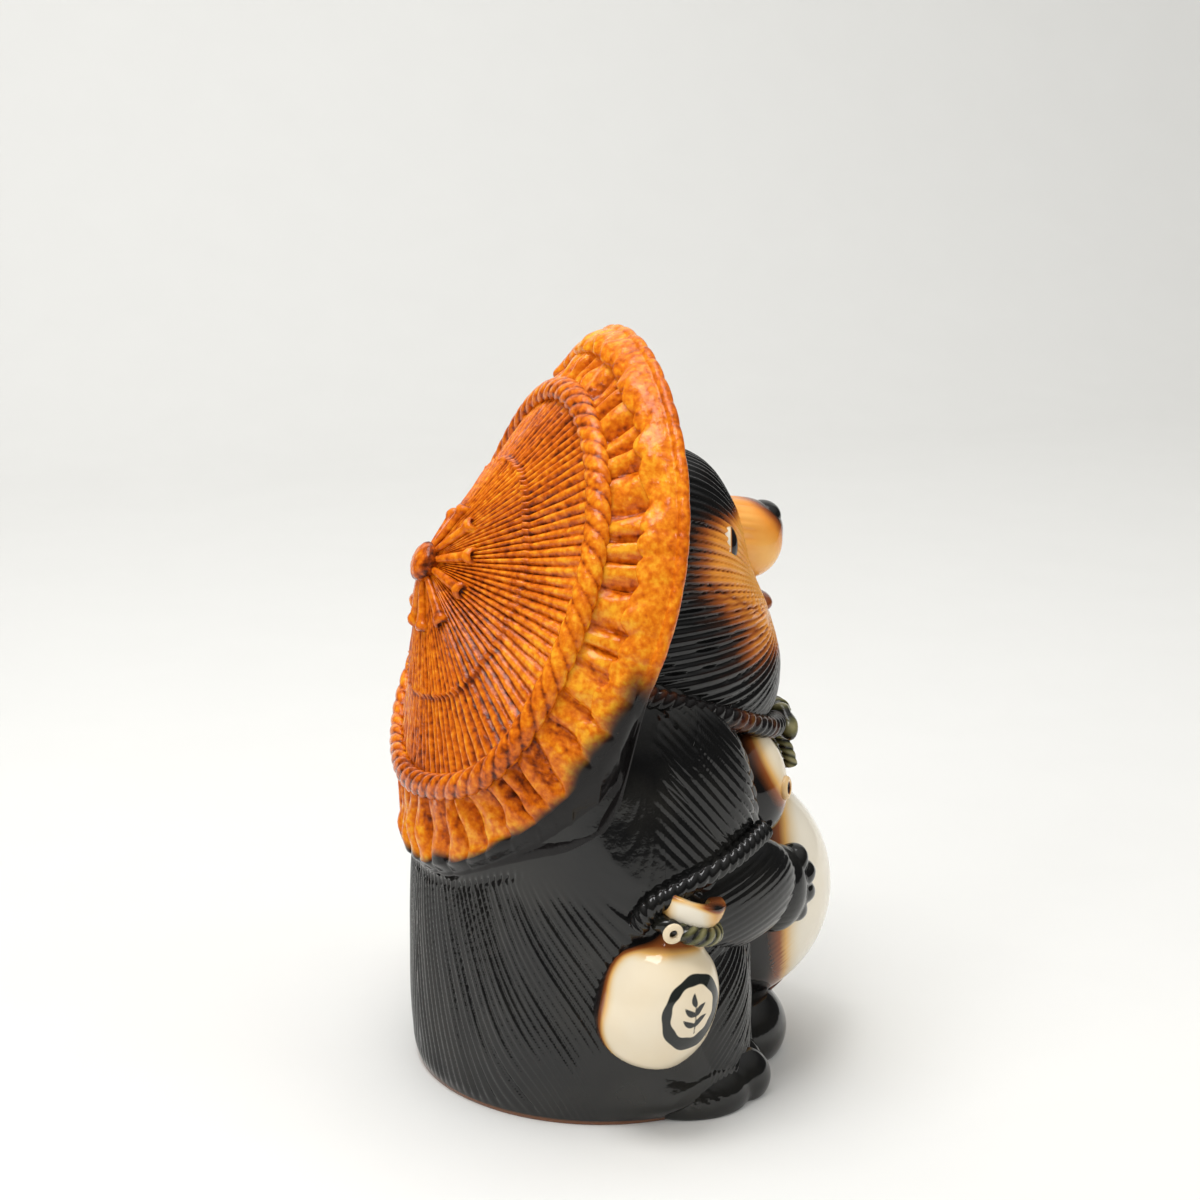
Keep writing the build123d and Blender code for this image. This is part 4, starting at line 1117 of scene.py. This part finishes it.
def flask():
    """The flask's bowl with its brushed mark, its lip, the cord round its neck and a small eye."""
    bowl = flask_turn(BOWL_PROFILE, 170, 240)
    x, y, z = np.moveaxis(bowl, -1, 0)
    toast = fade(-101, -88, x + 2.5 * wobble(y / 4, z / 4, 61)) + 0.55 * fade(79, 86, z)
    mark = brushed_mark(bowl, FLASK_FOOT + MARK_HEIGHT * FLASK_AXIS)
    patch = {"places": bowl, "scorch": np.clip(0.12 + toast, 0, 1), "stroke": mark}
    skin("flask_bowl", [patch], CREAM, ["flask_body"])
    lip = flask_turn(LIP_PROFILE, 60, 120)
    level = (lip - FLASK_FOOT) @ FLASK_AXIS
    blotch = 0.3 * wobble(lip[..., 0] / 2.5, lip[..., 1] / 2.5, 62)
    patch = {"places": lip, "scorch": np.clip(0.2 + 0.55 * fade(75, 78, level) + blotch, 0, 1)}
    skin("flask_lip_band", [patch], CREAM, ["flask_lip"])
    cols = 240
    angle = TURN * np.arange(cols + 1) / cols
    collar = FLASK_FOOT + COLLAR_HEIGHT * FLASK_AXIS
    round_neck = np.cos(angle)[:, None] * FLASK_X + np.sin(angle)[:, None] * FLASK_Y
    centres = collar + COLLAR_RADIUS * round_neck
    over = np.broadcast_to(FLASK_AXIS, centres.shape)
    places, gap = rope(centres, round_neck, over, COLLAR_HALF_WIDTH, COLLAR_HALF_RISE, COLLAR_TWISTS)
    dark = np.clip(gap + fade(-12, 2, places[..., 1]), 0, 1)
    patch = {"places": places[:, :-1], "groove": dark[:, :-1]}
    skin("flask_neck_cord", [patch], OLIVE, ["flask_collar"])
    centre = collar + LOOP_SET[0] * FLASK_X + LOOP_SET[1] * FLASK_Y
    eye = np.cos(angle)[:, None] * FLASK_Y + np.sin(angle)[:, None] * FLASK_AXIS
    over = np.broadcast_to(FLASK_X, eye.shape)
    places, _ = rope(centre + LOOP_RADIUS * eye, eye, over, LOOP_HALF, LOOP_HALF, 0)
    patch = {"places": places[:, :-1], "scorch": 0.15}
    skin("flask_cord_eye", [patch], CREAM, ["flask_loop"])


def peg():
    """A round peg that rises forward, with a blunt tip."""
    places = lifted(egg(PEG, 60, 60), GROUND)
    soot = 0.55 + 0.4 * fade(14, 24, places[..., 2])
    patch = {"places": places, "groove": 0.5, "soot": soot}
    skin("groin_peg_stub", [patch], AMBER, ["groin_peg"])


def book():
    """A stitched account book: a soft-edged block with leaves along its open sides."""
    rows, cols = 60, 120
    share = np.linspace(-1, 1, rows)[:, None]
    around = round_turn(cols)
    corner = np.abs(np.cos(around)) ** BOOK_CORNER + np.abs(np.sin(around)) ** BOOK_CORNER
    box = 1 / corner ** (1 / BOOK_CORNER)
    thick = BOOK_HALF_THICK * np.cos(around) * box
    wide = BOOK_HALF_WIDE * np.sin(around) * box
    crown = (1 - np.abs(share) ** 16) ** (1 / 6)
    leaves = 0.35 * np.cos(thick * 6) * fade(19, 21, np.abs(wide))
    y = (wide + leaves * np.sign(wide)) * crown
    z = BOOK_HALF_HIGH * share
    tilted_y = y * math.cos(BOOK_TILT) - z * math.sin(BOOK_TILT)
    tilted_z = y * math.sin(BOOK_TILT) + z * math.cos(BOOK_TILT)
    places = np.array(BOOK_CENTRE) + joined(thick * crown, tilted_y, tilted_z)
    patch = {"places": places, "scorch": 0.28 + 0.25 * fade(14, 21, np.abs(y))}
    skin("account_book_block", [patch], CREAM, ["account_book"])


def studio():
    """A pale floor that sweeps up behind the figure, soft light from all round, and the lamps."""
    paint = Paint(bpy.data.materials.new("pale_sweep"))
    grain = paint.noise(14, 2)
    colour = paint.mix(grain, (0.76, 0.757, 0.735), (0.78, 0.777, 0.755))
    paint.finish(colour, 0.75 + 0.05 * grain)
    bend = np.linspace(0.1, math.pi / 2, 14)
    level = np.linspace(-SWEEP_REACH, SWEEP_REACH, 8)
    run = np.concatenate([level, SWEEP_REACH + SWEEP_BEND * np.sin(bend), [SWEEP_REACH + SWEEP_BEND]])
    rise = np.concatenate([0 * level, SWEEP_BEND - SWEEP_BEND * np.cos(bend), [SWEEP_TOP]])
    wide = SWEEP_NEAR + (SWEEP_FAR - SWEEP_NEAR) * (run[:, None] - run[0]) / (run[-1] - run[0])
    places = joined(run[:, None], wide, rise[:, None])
    index = np.arange(len(run) * 2).reshape(-1, 2)
    faces = np.stack([index[:-1, 0], index[1:, 0], index[1:, 1], index[:-1, 1]], axis=1)
    mesh = bpy.data.meshes.new("sweep")
    mesh.from_pydata(places.reshape(-1, 3) * MM, [], faces.tolist())
    mesh.polygons.foreach_set("use_smooth", np.ones(len(mesh.polygons), bool))
    mesh.materials.append(paint.owner)
    sweep = bpy.data.objects.new("sweep", mesh)
    bpy.context.scene.collection.objects.link(sweep)
    sky()
    for lamp in LAMPS:
        soft_box(*lamp)


def sky():
    """White light all round, held back in reflections so that the glaze keeps its depth."""
    paint = Paint(bpy.data.worlds.new("studio"))
    bpy.context.scene.world = paint.owner
    direction = paint.node("ShaderNodeTexCoord", {}, {}, "Generated")
    upward = paint.node("ShaderNodeSeparateXYZ", {}, {0: direction}, "Z")
    overhead = paint.node("ShaderNodeMapRange", {}, {"Value": upward, **SKY_MIRRORED})
    glossy = paint.node("ShaderNodeLightPath", {}, {}, "Is Glossy Ray")
    sockets = {"Value": glossy, "To Min": SKY_LIGHT, "To Max": overhead}
    strength = paint.node("ShaderNodeMapRange", {}, sockets)
    background = paint.tree.nodes["Background"]
    paint.plug(background.inputs["Color"], SKY_COLOUR)
    paint.plug(background.inputs["Strength"], strength)


def soft_box(name, place, target, size, watts, mirrored_in_glaze):
    """A square lamp that looks at a target. A fill lamp is too soft to be seen in the glaze."""
    lamp = bpy.data.lights.new(name, "AREA")
    lamp.size = size
    lamp.energy = watts
    box = bpy.data.objects.new(name, lamp)
    box.location = place
    box.visible_glossy = mirrored_in_glaze
    aim = Vector(target) - Vector(place)
    box.rotation_euler = aim.to_track_quat("-Z", "Y").to_euler()
    bpy.context.scene.collection.objects.link(box)


def camera():
    """The photograph's view: from behind the figure's right side, a little above."""
    lens = bpy.data.cameras.new("view")
    lens.sensor_fit = "HORIZONTAL"
    lens.angle = VIEW_ANGLE
    view = bpy.data.objects.new("view", lens)
    view.location = VIEW_PLACE
    level = math.cos(VIEW_BELOW)
    aim = Vector((math.cos(VIEW_BEHIND) * level, -math.sin(VIEW_BEHIND) * level, -math.sin(VIEW_BELOW)))
    view.rotation_euler = aim.to_track_quat("-Z", "Y").to_euler()
    bpy.context.scene.collection.objects.link(view)
    bpy.context.scene.camera = view


body_half("body_back_fur", "body_back_shell", 0, math.pi)
body_half("body_front_fur", "body_front_shell", math.pi, TURN)
arm()
leg()
foot()
paw()
money_bag()
belly()
breast()
head()
face()
cords()
flask()
peg()
book()
hat_crown()
hat_brim()
hat_braid()
hat_button()
hat_spokes()
studio()
camera()
bpy.context.scene.view_settings.view_transform = "Standard"
